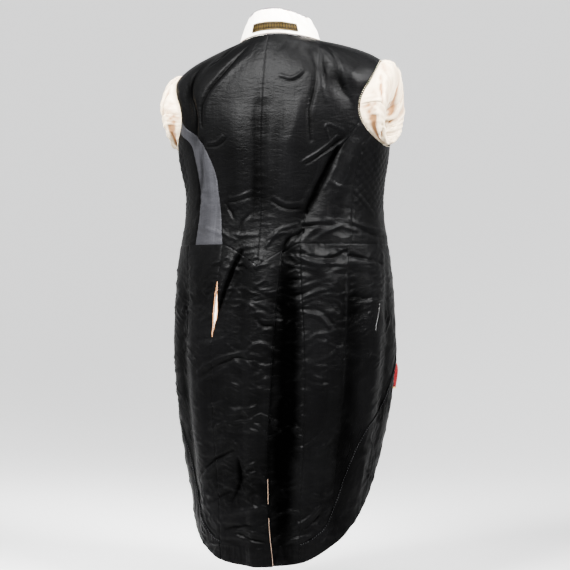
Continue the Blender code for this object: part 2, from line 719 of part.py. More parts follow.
def build_sleeve(side, group):
    """Sleeve in two panels, top and under, seamed down the front and back of the arm."""
    rings = sleeve_path(side)

    def between(first, last):
        def place(key):
            row, column = key
            ring = rings[row]
            point = ring[column % SLEEVE_SIDES]
            if column in (first, last):
                inner = ring[(column + (1 if column == first else -1)) % SLEEVE_SIDES]
                point = point + (inner - point).normalized() * SLEEVE_SEAM_GAP / 2
            return point
        return place

    for name, first in (("top_sleeve", -SLEEVE_SIDES // 4), ("under_sleeve", SLEEVE_SIDES // 4)):
        last = first + SLEEVE_SIDES // 2
        rows = [[(row, column) for column in range(first, last + 1)] for row in range(len(rings))]
        cloth_wall(f"{name}_{seam_side(side)}", [rows], between(first, last), WALL, CREAM, group)


def build_cuff(side, group):
    """Cuff: a short band that ends the sleeve."""
    angles = spread(0.0, 360.0, CUFF_SIDES + 1)[:-1]
    rows = [[(row, angle) for angle in angles] for row in range(len(CUFF))]

    def place(key):
        row, angle = key
        return sleeve_ring(side, CUFF[row], angle)

    cloth_wall(f"cuff_{seam_side(side)}", [rows], place, WALL, CUFF_CLOTH, group, closed=True)


def build_pocket(group):
    """The cloth that shows through the left pocket's slit."""
    side = -1
    drops = tail_drops()
    first = drops.index(POCKET_TOP) - 1
    last = drops.index(POCKET_BOTTOM) + 1
    rows = []
    for row in skirt_rows(side)[first:last + 1]:
        start, drop = row[0]
        rows.append([(start - POCKET_BAG_LIP_TURN, drop)] + row[:POCKET_BAG_COLUMNS])
    depth = -(WALL / 2 + POCKET_BAG_GAP + LABEL_WALL / 2)
    cloth_wall("pocket_bag", [rows], on_form(side, depth), LABEL_WALL, COLLAR_LINING, group)


def build_facing(side, group):
    """Border facing along the cutaway edge and the hem, on the lining side."""
    out = WALL / 2 + SEAM_GAP + FACING_WALL / 2
    last_rows = skirt_rows(side)[-1 - FACING_ROWS:]
    rows = [row[:PANEL_COLUMNS] + row[PANEL_COLUMNS + 1:-1] for row in last_rows]
    cloth_wall(f"facing_{seam_side(side)}", [rows], on_form(side, out), FACING_WALL, SATIN, group)


def build_buttons(group):
    """Domed buttons in one row, on the inner face of the left front."""
    top = BUTTON_SHANK + BUTTON_DOME
    profile = (
        (0.0, 0.0), (BUTTON_SHANK_RADIUS, 0.0), (BUTTON_SHANK_RADIUS, BUTTON_SHANK),
        (BUTTON_RADIUS, BUTTON_SHANK),
        (BUTTON_RADIUS, BUTTON_SHANK + BUTTON_EDGE), (BUTTON_RADIUS * 0.7, BUTTON_SHANK + BUTTON_DOME * 0.75),
        (0.0, top),
    )
    for i, drop in enumerate(spread(BUTTON_FIRST_DROP, BUTTON_LAST_DROP, BUTTON_COUNT)):
        inward = -base_normal(BUTTON_TURN, drop)
        turned = bmesh.new()
        points = [turned.verts.new((radius, 0.0, height)) for radius, height in profile]
        lines = [turned.edges.new(pair) for pair in zip(points, points[1:])]
        bmesh.ops.spin(
            turned, geom=points + lines, axis=(0, 0, 1), angle=math.tau, steps=BUTTON_SIDES, use_merge=True,
        )
        bmesh.ops.remove_doubles(turned, verts=turned.verts[:], dist=1e-5)
        bmesh.ops.recalc_face_normals(turned, faces=turned.faces[:])
        mesh = bpy.data.meshes.new(f"button_{i + 1}")
        turned.to_mesh(mesh)
        turned.free()
        button = add_object(f"button_{i + 1}", mesh, GILT, group)
        button.location = base_point(BUTTON_TURN, drop) + inward * (WALL / 2 + SEAM_GAP)
        button.rotation_mode = "QUATERNION"
        button.rotation_quaternion = inward.to_track_quat("Z", "Y")


def main():
    for old in list(bpy.data.objects):
        bpy.data.objects.remove(old)
    group = bpy.data.collections.new("tailcoat")
    bpy.context.scene.collection.children.link(group)
    for side in (1, -1):
        build_back(side, group)
        build_side_body(side, group)
        build_front(side, group)
        build_tail(side, group)
        build_skirt(side, group)
        build_sleeve(side, group)
        build_cuff(side, group)
        build_facing(side, group)
    build_pocket(group)
    build_collar(group)
    build_buttons(group)


main()
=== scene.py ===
"""A tailcoat turned inside out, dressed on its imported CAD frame.

Metres, +Z up. The wearer faces -Y and the wearer's right is -X. Places on the coat are given by two numbers:
the turn in degrees round the body (0 at the centre back, positive towards the wearer's right) and the drop in
metres below the neck.
"""

import json
import logging
import math
from collections.abc import Callable
from dataclasses import dataclass
from enum import Enum

import bpy
import numpy as np
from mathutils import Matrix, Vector

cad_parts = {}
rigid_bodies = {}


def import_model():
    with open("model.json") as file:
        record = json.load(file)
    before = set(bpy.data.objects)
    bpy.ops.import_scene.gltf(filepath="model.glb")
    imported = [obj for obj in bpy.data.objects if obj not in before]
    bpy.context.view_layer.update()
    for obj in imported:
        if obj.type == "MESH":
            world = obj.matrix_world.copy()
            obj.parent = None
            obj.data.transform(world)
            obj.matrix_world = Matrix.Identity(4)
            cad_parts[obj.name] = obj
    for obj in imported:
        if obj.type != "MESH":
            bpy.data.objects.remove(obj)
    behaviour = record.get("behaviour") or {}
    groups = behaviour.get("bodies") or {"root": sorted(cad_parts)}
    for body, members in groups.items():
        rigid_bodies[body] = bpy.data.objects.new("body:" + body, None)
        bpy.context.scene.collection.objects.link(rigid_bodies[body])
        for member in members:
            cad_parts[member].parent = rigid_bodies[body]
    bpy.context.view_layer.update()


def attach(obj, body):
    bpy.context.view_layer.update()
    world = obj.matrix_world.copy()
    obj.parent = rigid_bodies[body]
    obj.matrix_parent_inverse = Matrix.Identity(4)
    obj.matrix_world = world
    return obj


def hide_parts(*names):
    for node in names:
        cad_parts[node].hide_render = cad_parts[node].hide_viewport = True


logging.basicConfig(level=logging.INFO, format="%(message)s")
LOG = logging.getLogger("tailcoat")

Rows = tuple[tuple[float, ...], ...]
Triple = tuple[float, float, float]
Array = np.ndarray
Socket = bpy.types.NodeSocket
Material = bpy.types.Material
Piece = bpy.types.Object

# The walls, the space between cloth that lies on cloth, and the overlap that closes a seam (below 0)
WALL = 0.0024
SEAM_GAP = 0.0005
SEAM_SHOWN = -0.00016
# The spacing of points on plain and on creased cloth
FINE = 0.0034
CRISP = 0.0026
# The share of the large folds that the finishes leave out of the painted shade that they draw from the folds
FOLD_LEFT_OUT = 0.55
BODY = "root"


class Side(Enum):
    """The wearer's sides."""

    RIGHT = 1
    LEFT = -1

    @property
    def word(self) -> str:
        """Returns: the side's name in lower case."""
        return self.name.lower()


@dataclass(frozen=True)
class Curve:
    """A smooth curve through rows of numbers whose first column rises."""

    rows: Rows

    def at(self, where: Array | float, column: int = 1) -> Array:
        """The curve's value.

        Args:
            where: places along the first column.
            column: the column to read.

        Returns:
            A value for each place.
        """
        keys = np.array([row[0] for row in self.rows])
        values = np.array([row[column] for row in self.rows])
        x = np.clip(np.asarray(where, dtype=float), keys[0], keys[-1])
        i = np.clip(np.searchsorted(keys, x, side="right") - 1, 0, len(keys) - 2)
        low = np.maximum(np.arange(len(keys)) - 1, 0)
        high = np.minimum(np.arange(len(keys)) + 1, len(keys) - 1)
        slope = (values[high] - values[low]) / (keys[high] - keys[low])
        span = keys[i + 1] - keys[i]
        t = (x - keys[i]) / span
        return (
            (2 * t**3 - 3 * t**2 + 1) * values[i]
            + (t**3 - 2 * t**2 + t) * span * slope[i]
            + (3 * t**2 - 2 * t**3) * values[i + 1]
            + (t**3 - t**2) * span * slope[i + 1]
        )


def smooth(value: Array, low: float, high: float) -> Array:
    """A soft step.

    Args:
        value: the numbers to step.
        low: where the step is still 0.
        high: where the step has reached 1.

    Returns:
        Numbers from 0 to 1.
    """
    t = np.clip((value - low) / (high - low), 0.0, 1.0)
    return t * t * (3 - 2 * t)


def unit(vectors: Array) -> Array:
    """Returns: the vectors (in the last axis) at length 1."""
    return vectors / (np.linalg.norm(vectors, axis=-1, keepdims=True) + 1e-12)


def noise(x: Array, y: Array, seed: int) -> Array:
    """Smooth noise from -1 to 1 with cells of size 1.

    Args:
        x: places across.
        y: places down.
        seed: which noise.

    Returns:
        The noise at each place.
    """
    x0, y0 = np.floor(x).astype(np.int64), np.floor(y).astype(np.int64)
    fx, fy = x - x0, y - y0

    def corner(dx: int, dy: int) -> Array:
        mixed = ((x0 + dx) * 374761393 + (y0 + dy) * 668265263 + seed * 974634777) & 0xFFFFFFFF
        mixed = ((mixed ^ (mixed >> 13)) * 1274126177) & 0xFFFFFFFF
        angle = ((mixed ^ (mixed >> 16)) & 65535) / 65535.0 * math.tau
        return np.cos(angle) * (fx - dx) + np.sin(angle) * (fy - dy)

    u, v = fx**3 * (fx * (fx * 6 - 15) + 10), fy**3 * (fy * (fy * 6 - 15) + 10)
    top = corner(0, 0) * (1 - u) + corner(1, 0) * u
    low = corner(0, 1) * (1 - u) + corner(1, 1) * u
    return (top * (1 - v) + low * v) * 1.5


def spread(start: float, end: float, spacing: float, scale: float = 1.0) -> Array:
    """Even numbers from start to end.

    Args:
        start: the first number.
        end: the last number.
        spacing: the wanted step in metres.
        scale: metres for each unit of the numbers.

    Returns:
        At least two numbers.
    """
    return np.linspace(start, end, max(2, round(abs(end - start) * scale / spacing) + 1))


def in_metres(rows: Rows) -> Rows:
    """Returns: rows of lines on the cloth, whose turns stay and whose other columns come in millimetres."""
    return tuple(tuple(part if i in (0, 2) else part / 1000 for i, part in enumerate(row)) for row in rows)


def off_line(
    row: tuple[float, ...], turn: Array, drop: Array, scale: Array | float
) -> tuple[Array, Array, Array]:
    """Where places lie against a line on the cloth.

    Args:
        row: the line's turn 1, drop 1, turn 2 and drop 2.
        turn: the places' turns in degrees.
        drop: their drops in metres.
        scale: metres for each degree.

    Returns:
        How far along the line they are, from 0 to 1, and the metres past its ends and to its side.
    """
    px, py = (turn - row[0]) * scale, drop - row[1]
    dx, dy = (row[2] - row[0]) * scale, row[3] - row[1]
    length = np.hypot(dx, dy) + 1e-9
    along = (px * dx + py * dy) / length**2
    near = np.clip(along, 0.0, 1.0)
    return near, (along - near) * length, (px * dy - py * dx) / length


@dataclass(frozen=True)
class CoatForm:
    """The coat's form: sections, seams, lower edge and folds, all in real sizes."""

    neck_drop: float = 0.012
    waist_drop: float = 0.400
    back_point: float = 0.043
    front_point: float = 0.045
    waist_turn: float = 22.0
    front_turn: float = 150.0
    tilt: float = 0.038
    armhole_turn: float = 90.0
    armhole_half_turn: float = 39.0
    armhole_top: float = 0.058
    armhole_bottom: float = 0.214
    facing_share: float = 0.6
    underlap_turn: float = -1.5
    girth_share: float = 0.88
    radius_share: float = 0.75
    least_degree: float = 0.0022
    far_turn: float = 165.0
    uneven: float = 0.4
    far_uneven: float = 0.6
    mean_radius: float = 0.19
    # seed, width, height and strength of each layer of wrinkles
    wrinkles: Rows = ((21, 0.046, 0.019, 0.9), (22, 0.03, 0.014, 0.7), (23, 0.07, 0.032, 1.0))
    wrinkle_height: float = 0.0020
    wrinkle_lean: float = 0.30
    wrinkle_sharpness: float = 3.4
    soft_height: float = 0.0005
    quilt_pitch: float = 0.017
    quilt_slope: float = 0.72
    quilt_height: float = 0.0021
    # drop, back drop, front drop, half width, back, front, corner
    sections: Rows = (
        (0.012, 0.0, 0.055, 0.078, 0.093, -0.035, 0.0),
        (0.024, 0.02, 0.075, 0.126, 0.105, -0.057, 0.01),
        (0.042, 0.052, 0.108, 0.174, 0.118, -0.078, 0.03),
        (0.062, 0.086, 0.138, 0.205, 0.127, -0.094, 0.05),
        (0.085, 0.114, 0.158, 0.218, 0.132, -0.103, 0.06),
        (0.11, 0.134, 0.174, 0.22, 0.135, -0.108, 0.06),
        (0.15, 0.166, 0.2, 0.217, 0.14, -0.117, 0.05),
        (0.2, 0.206, 0.226, 0.211, 0.143, -0.122, 0.04),
        (0.24, 0.241, 0.25, 0.206, 0.143, -0.125, 0.03),
        (0.29, 0.29, 0.292, 0.198, 0.142, -0.127, 0.02),
        (0.34, 0.34, 0.34, 0.1965, 0.141, -0.128, 0.02),
        (0.4, 0.4, 0.4, 0.2055, 0.148, -0.134, 0.01),
        (0.45, 0.45, 0.45, 0.2105, 0.158, -0.145, 0.0),
        (0.5, 0.5, 0.5, 0.2125, 0.163, -0.152, 0.0),
        (0.6, 0.6, 0.6, 0.214, 0.168, -0.156, 0.0),
        (0.7, 0.7, 0.7, 0.205, 0.168, -0.152, 0.0),
        (0.8, 0.8, 0.8, 0.189, 0.165, -0.145, 0.0),
        (0.9, 0.9, 0.9, 0.172, 0.162, -0.135, 0.0),
        (1.01, 1.01, 1.01, 0.166, 0.16, -0.13, 0.0),
    )
    pleat_seam: Rows = ((0.4, 22.0), (0.48, 23.0), (0.6, 25.0), (0.8, 27.0), (1.01, 28.0))
    skirt_seam: Rows = ((0.4, 51.0), (0.58, 48.5), (1.01, 49.5))
    vent_edge: Rows = ((0.43, 12.5), (0.56, 9.5), (0.79, 7.0), (0.92, 8.0), (1.01, 11.0))
    # turn, drop
    hem_line: Rows = (
        (0.0, 1.004), (22.0, 0.999), (33.0, 0.991), (48.0, 0.969), (60.0, 0.948), (70.0, 0.922),
        (82.0, 0.885), (93.0, 0.828), (106.0, 0.75), (120.0, 0.655), (135.0, 0.545), (150.0, 0.42),
    )
    # turn, height of the facing above the lower edge
    facing_height: Rows = (
        (28.0, 0.036), (38.0, 0.04), (47.0, 0.052), (53.0, 0.09), (60.0, 0.15), (68.0, 0.183), (90.0, 0.16),
        (110.0, 0.15),
    )
    # In degrees and millimetres: turn 1, drop 1, turn 2, drop 2, half width, height
    folds: Rows = in_metres((
        (17, 425, 16, 980, 20, -13), (31, 440, 33, 960, 30, 6), (-9, 425, -22, 550, 14, -7),
        (-15, 440, -26, 620, 22, 5), (24, 405, 40, 470, 16, 5), (-38, 560, -40, 940, 32, 6),
        (-52, 460, -56, 880, 24, -6), (-74, 440, -68, 900, 34, 6), (52, 460, 56, 900, 28, -6),
        (68, 440, 66, 880, 32, 5), (88, 460, 80, 820, 26, -5), (112, 440, 100, 740, 32, 6),
        (-96, 460, -88, 820, 28, -5), (-116, 440, -104, 720, 32, 6), (30, 40, 50, 150, 14, -5),
        (38, 36, 56, 120, 16, 4), (-46, 50, -42, 200, 16, -6), (-60, 70, -66, 270, 20, 5),
        (-68, 90, -72, 300, 14, -6), (43, 210, 22, 370, 16, -5), (52, 220, 34, 370, 18, 5),
        (0, 120, 0, 380, 16, -3), (14, 120, 10, 360, 20, 3), (-14, 130, -10, 360, 20, 3),
        (140, 120, 156, 380, 26, 5), (-140, 130, -154, 380, 26, 5), (128, 240, 120, 390, 20, -5),
        (-128, 240, -118, 390, 20, -5),
    ))
    # Creases too small for the solids, with the same columns and the bow
    creases: Rows = in_metres((
        # Drag lines and drape of the upper back
        (-18, 28, -34, 162, 3.5, -3, -17), (-12, 34, -31, 142, 5, 1.6, -18),
        (-36.5, 18, -38.5, 44, 3, -2, 6), (-48, 52, -39.5, 194, 4, -2.5, 19),
        (-30.5, 202, -21, 186, 2.5, 1.8, -6), (-31, 208, -19, 194, 2.5, -1.8, -7),
        (-2, 90, -4.5, 384, 6, -1.4, 1), (3.5, 128, 4.5, 384, 6, 0.9, 2), (19.5, 112, 12, 318, 9, 2, 2),
        (10.5, 120, 6.5, 308, 8, -1.6, 1), (29.5, 50, 26.5, 204, 4, -2.5, -11),
        (45, 26, 32.5, 120, 3, 2.2, -29), (39, 38, 32, 94, 3.5, -2, -7),
        (47.5, 32, 46.5, 132, 4, -2.4, -23), (45.5, 40, 48, 128, 3, 2, -15), (9, 60, 22, 58, 2.5, 1.5, -7),
        (10, 66, 22, 64, 2.5, -1.5, -7), (18, 24, 7.5, 34, 3, -1.2, -1), (33, 20, 18, 36, 3, -1.4, -1),
        (55, 14, 29, 36, 5, -2.6, -4), (23, 246, 40, 198, 2.4, 2.2, -3),
        (25, 250, 42.5, 204, 2.6, -2.4, -2), (33, 236, 46, 202, 2.2, 2.2, -2),
        (36.5, 204, 43, 186, 3, 2, 29), (41.5, 220, 26, 342, 4.5, -4.5, 3), (37, 224, 23, 334, 5, 2, 2),
        (44.5, 228, 36, 296, 4, 2, 2), (50, 242, 46.5, 290, 2.4, 1.6, 5), (39, 282, 49, 296, 2.6, 2, -2),
        # Ease creases at the waist
        (6.5, 320, 23, 334, 2.8, -2.4, -6), (7.5, 312, 23.5, 324, 2.8, 1.6, -7),
        (23.5, 360, 41, 356, 2.4, 2.4, 0), (24.5, 366, 41.5, 366, 2.6, -2.2, 0),
        (24, 394, 34.5, 366, 2.6, 2, 4), (28.5, 396, 46.5, 366, 2.6, 2.2, 4),
        (46.5, 366, 62, 374, 2.6, 1.8, -3), (20, 392, 28, 366, 2.8, -2.2, 4),
        (4, 404, 17.5, 378, 2.6, 2.4, 8), (4.5, 392, 20, 364, 2.8, 1.8, 4),
        (13.5, 412, 21, 382, 3.2, -3, 7), (-16.5, 382, -1, 382, 2.6, 1.8, -2),
        (-23.5, 372, -13.5, 392, 2.8, 2, -3), (-19, 314, -5.5, 302, 2.6, 2, -2),
        (-19, 320, -5, 310, 2.8, -1.8, -1), (-21.5, 322, -15.5, 352, 3, -2, 1),
        (-11.5, 378, -6, 344, 3, -1.6, 5), (-34, 194, -44, 332, 5, -1.8, 2),
        (-35.5, 368, -22.5, 382, 2.6, 1.5, 1), (57.5, 302, 75, 342, 2.8, 1.6, -3),
        # Creases of the left tail and skirt
        (52.5, 356, 91.5, 374, 2.8, 2, -6), (53.5, 366, 86.5, 386, 2.8, -2, -5),
        (67, 328, 94, 318, 2.6, 1.6, -2), (-35.5, 642, -3.5, 602, 3, 3, 7), (-5, 604, 10.5, 602, 3, 3, 17),
        (-13, 612, -1.5, 616, 2.6, -2.6, 0), (-33.5, 650, -12.5, 616, 2.8, -2.2, 3),
        (-33.5, 660, -16, 632, 3, 2, 0), (0, 620, 10, 624, 2.4, 2, -6), (3.5, 654, 8.5, 654, 2.4, 1.6, 2),
        (1, 542, 10, 552, 3.2, -2.2, -6), (-7, 510, 1.5, 528, 2.6, 1.6, 3),
        (2.5, 488, 11.5, 486, 2.4, 1.8, -5), (-29, 438, -17.5, 424, 2.4, 1.8, -2),
        (-28, 442, -17, 432, 2.6, -1.8, -4), (-33.5, 588, -22, 582, 3, 2.2, -3),
        (-34.5, 578, -24, 576, 2.8, -2, -1), (-10, 436, 6, 436, 2.4, 1.8, 10),
        (-12, 446, -6, 446, 2.6, -1.8, 6), (-1, 448, 6, 440, 2.4, 1.6, 2),
        (-28.5, 706, -20, 696, 2.4, 2, -1), (-17, 716, 0.5, 704, 5, 2.4, -2),
        (-17, 734, 2.5, 726, 2.4, 2.2, -2), (-1.5, 726, 8.5, 732, 2.4, 2.4, 11),
        (-9.5, 750, 3.5, 752, 3, 2, 3), (0, 736, 7.5, 764, 2.4, 2.2, 3), (-28.5, 768, -18, 758, 2.4, 2, -1),
        (-29.5, 748, -17.5, 738, 2.4, 1.8, 1), (-30, 778, -21, 768, 2.4, 1.6, 0),
        (-42.5, 838, -14, 786, 3.2, -3.4, 4), (-42, 848, -12, 796, 5, 2.4, 4),
        (-7, 822, 0.5, 808, 2.4, 3, 2), (-6.5, 830, 1.5, 826, 2.4, 2, 0),
        (-11.5, 802, -17.5, 884, 3.6, -3, 10), (-36, 880, -18, 852, 2.6, 3, 1),
        (-34, 886, -17, 862, 3, -2.2, -1), (1.5, 812, 5.5, 842, 2.4, 2, 0), (-24.5, 910, 6, 890, 4.2, 3, 0),
        (-27.5, 924, -11, 924, 3, 2, 2), (-23, 936, -2.5, 926, 3.2, -2.6, 1),
        (-15, 936, 6.5, 946, 2.6, 3, 3), (-12.5, 944, 5.5, 956, 2.8, -3, -2),
        (-26, 952, -1.5, 956, 4, 2.6, 4), (-42.5, 970, -14.5, 966, 3, 1.5, 2),
        # Creases of the right tail and skirt
        (22, 418, 48.5, 414, 3.2, -3.2, -13), (20, 422, 39, 436, 2.8, 2.4, -8),
        (33.5, 440, 48.5, 440, 3, 2.4, 2), (40.5, 450, 48.5, 448, 2.4, 1.4, 1),
        (17.5, 422, 24.5, 436, 2.4, 2, -2), (16.5, 452, 23, 452, 2.2, 1.8, 2),
        (16.5, 468, 22.5, 466, 2.2, -1.8, 1), (17, 482, 31.5, 470, 2.8, 2.4, -3),
        (17.5, 498, 32, 478, 2.6, -2, -3), (20.5, 510, 41.5, 482, 2.4, 3, 5),
        (21, 518, 29, 502, 2.4, 1.8, 2), (22.5, 528, 38, 556, 2.4, 2.6, 9),
        (23.5, 520, 40.5, 552, 2.6, -2.6, 10), (28.5, 576, 37.5, 576, 4, 2, 8),
        (24.5, 618, 37.5, 628, 2.6, 1.8, -5), (27, 640, 37.5, 650, 2.6, 1.8, -4),
        (28.5, 660, 38.5, 662, 2.4, 2, -3), (50.5, 422, 78.5, 436, 3.2, -3, 0),
        (51, 498, 70, 500, 3, -2, -3), (64.5, 508, 77.5, 504, 3, 2, 0), (68.5, 462, 76, 458, 1.8, 1.8, 0),
        (68.5, 476, 76, 472, 1.8, 1.8, 0), (67.5, 488, 75.5, 486, 1.8, 1.8, 1),
        (50, 730, 62.5, 726, 2.6, 1.8, -4), (18, 746, 24, 744, 2.4, 1.4, -1),
        (10, 742, 18.5, 760, 3, 1.8, -1), (34, 866, 43, 876, 2.6, 2.2, -1),
        (10, 912, 22.5, 896, 2.6, 1.8, 0), (19.5, 896, 29, 898, 2.4, 1.6, -3),
        (24, 928, 40, 890, 2.8, 3.2, -3), (27.5, 936, 43, 898, 3, -2.6, -3),
        (41, 904, 46.5, 894, 2.4, 2.2, 1), (23, 940, 30.5, 936, 2.4, 1.8, 2),
        (9.5, 956, 15.5, 944, 2.4, 1.8, 0), (17.5, 962, 36.5, 944, 2.8, 2.4, 4),
        (38, 924, 50, 952, 2.6, 2, 1), (30.5, 954, 36.5, 936, 2.4, 1.8, -1),
        (49, 766, 59.5, 798, 3, 1.6, 5), (73.5, 826, 92, 848, 2.8, 1.8, -2),
        # The left pleat
        (-10, 414, -23, 540, 3.4, -5.5, -4),
        # Pressed edges of the right panel
        (50.4, 402, 48, 578, 2.2, 1.6, 0), (48, 578, 48.2, 700, 2.2, 1.4, 0),
        (38, 402.5, 50, 401.5, 1.8, 1.4, 0),
    ))

    @property
    def oval(self) -> tuple[float, float]:
        """Returns: the drop of the armhole's middle and half its height."""
        return (self.armhole_top + self.armhole_bottom) / 2, (self.armhole_bottom - self.armhole_top) / 2

    def section(self, drop: Array, column: int) -> Array:
        """Returns: one column of the section table at the drops."""
        return Curve(self.sections).at(drop, column)

    def metres_per_degree(self, drop: Array) -> Array:
        """Returns: about how far one degree of turn goes at the drops."""
        return np.radians(self.section(drop, 3) * self.girth_share)

    def base(self, turn: Array, drop: Array) -> Array:
        """Points of the smooth form.

        Args:
            turn: turns in degrees.
            drop: drops in metres.

        Returns:
            Points, with x, y and z in the last axis.
        """
        turn, drop = np.broadcast_arrays(np.asarray(turn, float), np.asarray(drop, float))
        angle = np.radians(turn)
        back, front = self.section(drop, 4), self.section(drop, 5)
        swell = 1 + self.section(drop, 6) * np.sin(2 * angle) ** 2
        x = -self.section(drop, 3) * np.sin(angle) * swell
        y = (back + front) / 2 + (back - front) / 2 * np.cos(angle) * swell
        toward = np.cos(angle) ** 2
        end = np.where(np.cos(angle) > 0, self.section(drop, 1), self.section(drop, 2))
        fade = smooth(0.27 - drop, 0.0, 0.20)
        z = -(drop * (1 - toward) + end * toward) - self.tilt * x * fade
        return np.stack([x, y, z], axis=-1)

    def normal(self, turn: Array, drop: Array) -> Array:
        """Returns: outward directions of the smooth form."""
        across = self.base(turn + 0.2, drop) - self.base(turn - 0.2, drop)
        down = self.base(turn, drop + 0.001) - self.base(turn, drop - 0.001)
        return unit(np.cross(down, across))

    def line_field(self, rows: Rows, turn: Array, drop: Array, uneven: float) -> Array:
        """The height of a table of folds or creases.

        Args:
            rows: turn 1, drop 1, turn 2, drop 2, half width, height and, for a crease, its bow.
            turn: turns in degrees.
            drop: drops in metres.
            uneven: how far each line wanders and changes its height, from 0.

        Returns:
            Heights in metres.
        """
        shape = np.shape(turn)
        turn, drop = np.ravel(turn), np.ravel(drop)
        all_scale = self.metres_per_degree(drop)
        total = np.zeros_like(all_scale)
        for number, row in enumerate(rows):
            bow = row[6] if len(row) > 6 else 0.0
            margin = 3 * row[4] + abs(bow) + 0.004
            reach = margin / self.least_degree
            near_turn = (turn > min(row[0], row[2]) - reach) & (turn < max(row[0], row[2]) + reach)
            near_drop = (drop > min(row[1], row[3]) - margin) & (drop < max(row[1], row[3]) + margin)
            chosen = np.nonzero(near_turn & near_drop)
            near, past, side = off_line(row, turn[chosen], drop[chosen], all_scale[chosen])
            wander = uneven * row[4] * noise(near * 3.1, near * 0 + number, 11 + number)
            away = np.hypot(past, side - bow * np.sin(math.pi * near) - wander)
            taper = np.sin(math.pi * np.clip(0.12 + 0.76 * near, 0, 1)) ** 0.7
            rise = 1 + uneven * noise(near * 2.3, near * 0 + number * 1.7, 5 + number)
            total[chosen] += row[5] * rise * taper * np.exp(-((away / row[4]) ** 2))
        return total.reshape(shape)

    def edge_fade(self, turn: Array, drop: Array) -> Array:
        """Returns: 1 on open cloth, falling to 0 at the neck, the armholes and the centre front."""
        middle, half = self.oval
        reach = np.hypot((np.abs(turn) - self.armhole_turn) / self.armhole_half_turn, (drop - middle) / half)
        return (
            np.clip((drop - self.neck_drop) / 0.030, 0, 1)
            * np.clip((180 - np.abs(turn)) / 12, 0, 1)
            * np.clip((reach - 1) / 0.35, 0, 1)
        )

    def crumple(self, turn: Array, drop: Array) -> Array:
        """Small uneven wrinkles: flat and sharp across the skirts, soft and few on the back.

        Args:
            turn: turns in degrees.
            drop: drops in metres.

        Returns:
            Heights in metres.
        """
        x = turn * np.radians(self.mean_radius)
        bend = 0.35 * noise(x / 0.060, drop / 0.060, 3)
        ridges = np.zeros_like(x)
        for number, (seed, wide, tall, high) in enumerate(self.wrinkles):
            leant = drop + (number - 1) * self.wrinkle_lean * x
            ridge = 1 - np.abs(noise(x / wide + bend, leant / tall + bend, seed)) * self.wrinkle_sharpness
            here = smooth(noise(x / wide, drop / 0.03, seed + 20), -0.3, 0.4)
            ridges += high * np.clip(ridge, 0, 1) ** 1.5 * here
        soft = noise(x / 0.045, drop / 0.090, 31) + 0.5 * noise(x / 0.022, drop / 0.045, 32)
        skirt = smooth(drop, 0.40, 0.46)
        waist = smooth(drop, 0.24, 0.34) * (1 - skirt)
        low = 1 - smooth(drop, 0.93, 1.00) * 0.6
        patch = 0.45 + 0.55 * smooth(noise(x / 0.11, drop / 0.09, 41), -0.5, 0.6)
        sharp = (ridges - 0.4) * self.wrinkle_height * patch * (skirt * low + 0.45 * waist)
        return sharp + soft * self.soft_height * (1 + 0.8 * skirt)

    def quilting(self, turn: Array, drop: Array) -> Array:
        """Diagonal channels of the padded chest below each armhole.

        Args:
            turn: turns in degrees.
            drop: drops in metres.

        Returns:
            Heights in metres, nought off the padding.
        """
        x = (np.abs(turn) - 90) * np.radians(self.mean_radius) * self.quilt_slope
        y = drop - 0.225
        inside = smooth(np.abs(turn), 53, 58) * (1 - smooth(np.abs(turn), 150, 160))
        inside *= (1 - smooth(drop, 0.325, 0.342)) * smooth(drop, 0.10, 0.12)
        rising, falling = (np.abs(np.mod((y + way * x) / self.quilt_pitch, 1.0) - 0.5) for way in (1, -1))
        channels = np.sqrt(np.clip(np.minimum(rising, falling) * 2, 0, 1)) - 0.6
        return inside * channels * self.quilt_height

    def lift(self, turn: Array, drop: Array) -> Array:
        """Returns: the height of everything that folds the cloth, in metres."""
        far = np.where(turn > 0, turn - self.far_turn, turn + self.far_turn)
        fine = self.line_field(self.creases, turn, drop, self.uneven) + self.crumple(turn, drop)
        fine = fine + self.quilting(turn, drop) + self.line_field(self.creases, far, drop, self.far_uneven)
        return (self.line_field(self.folds, turn, drop, 0.0) + fine) * self.edge_fade(turn, drop)

    def point(self, turn: Array, drop: Array, out: Array | float = 0.0) -> Array:
        """Returns: points of the folded cloth's middle, moved out by a distance."""
        away = self.lift(turn, drop) + out
        return self.base(turn, drop) + self.normal(turn, drop) * away[..., None]

    def half_gap(self, drop: Array) -> Array:
        """Returns: half of a seam's gap as a turn."""
        return np.degrees(SEAM_SHOWN / 2 / (np.maximum(0.07, self.section(drop, 3)) * self.radius_share))

    def armhole(self, angle: Array) -> Array:
        """Returns: keys on the armhole's oval: 0 is its top, 90 its back and 180 its bottom."""
        middle, half = self.oval
        turn = self.armhole_turn - self.armhole_half_turn * np.sin(np.radians(angle))
        return np.stack([turn, middle - half * np.cos(np.radians(angle))], axis=-1)

    def armhole_angle(self, drop: float) -> float:
        """Returns: the angle on the armhole's back half at a drop."""
        middle, half = self.oval
        return math.degrees(math.acos(max(-1.0, min(1.0, (middle - drop) / half))))

    def waist(self, turn: Array) -> Array:
        """Returns: the waist seam's drop, with a point at the centre back and centre front."""
        back = np.clip(1 - np.abs(turn) / self.waist_turn, 0, 1)
        front = np.clip((np.abs(turn) - 120) / 60, 0, 1)
        return self.waist_drop + self.back_point * back**1.3 + self.front_point * front**1.5

    def hem(self, turn: Array) -> Array:
        """Returns: the lower edge's drop."""
        return Curve(self.hem_line).at(np.abs(turn))

    def hang(self, turn: Array, share: Array) -> Array:
        """The drop of a place on the skirts.

        Args:
            turn: turns in degrees.
            share: 0 at the waist seam, 1 at the top of the facing and 2 at the lower edge.

        Returns:
            Drops in metres.
        """
        top = self.waist(turn) + SEAM_SHOWN / 2
        length = self.hem(turn) - top
        band = np.minimum(Curve(self.facing_height).at(np.abs(turn)), length * self.facing_share)
        return np.where(share <= 1, top + (length - band) * share, top + length - band * (2 - share))

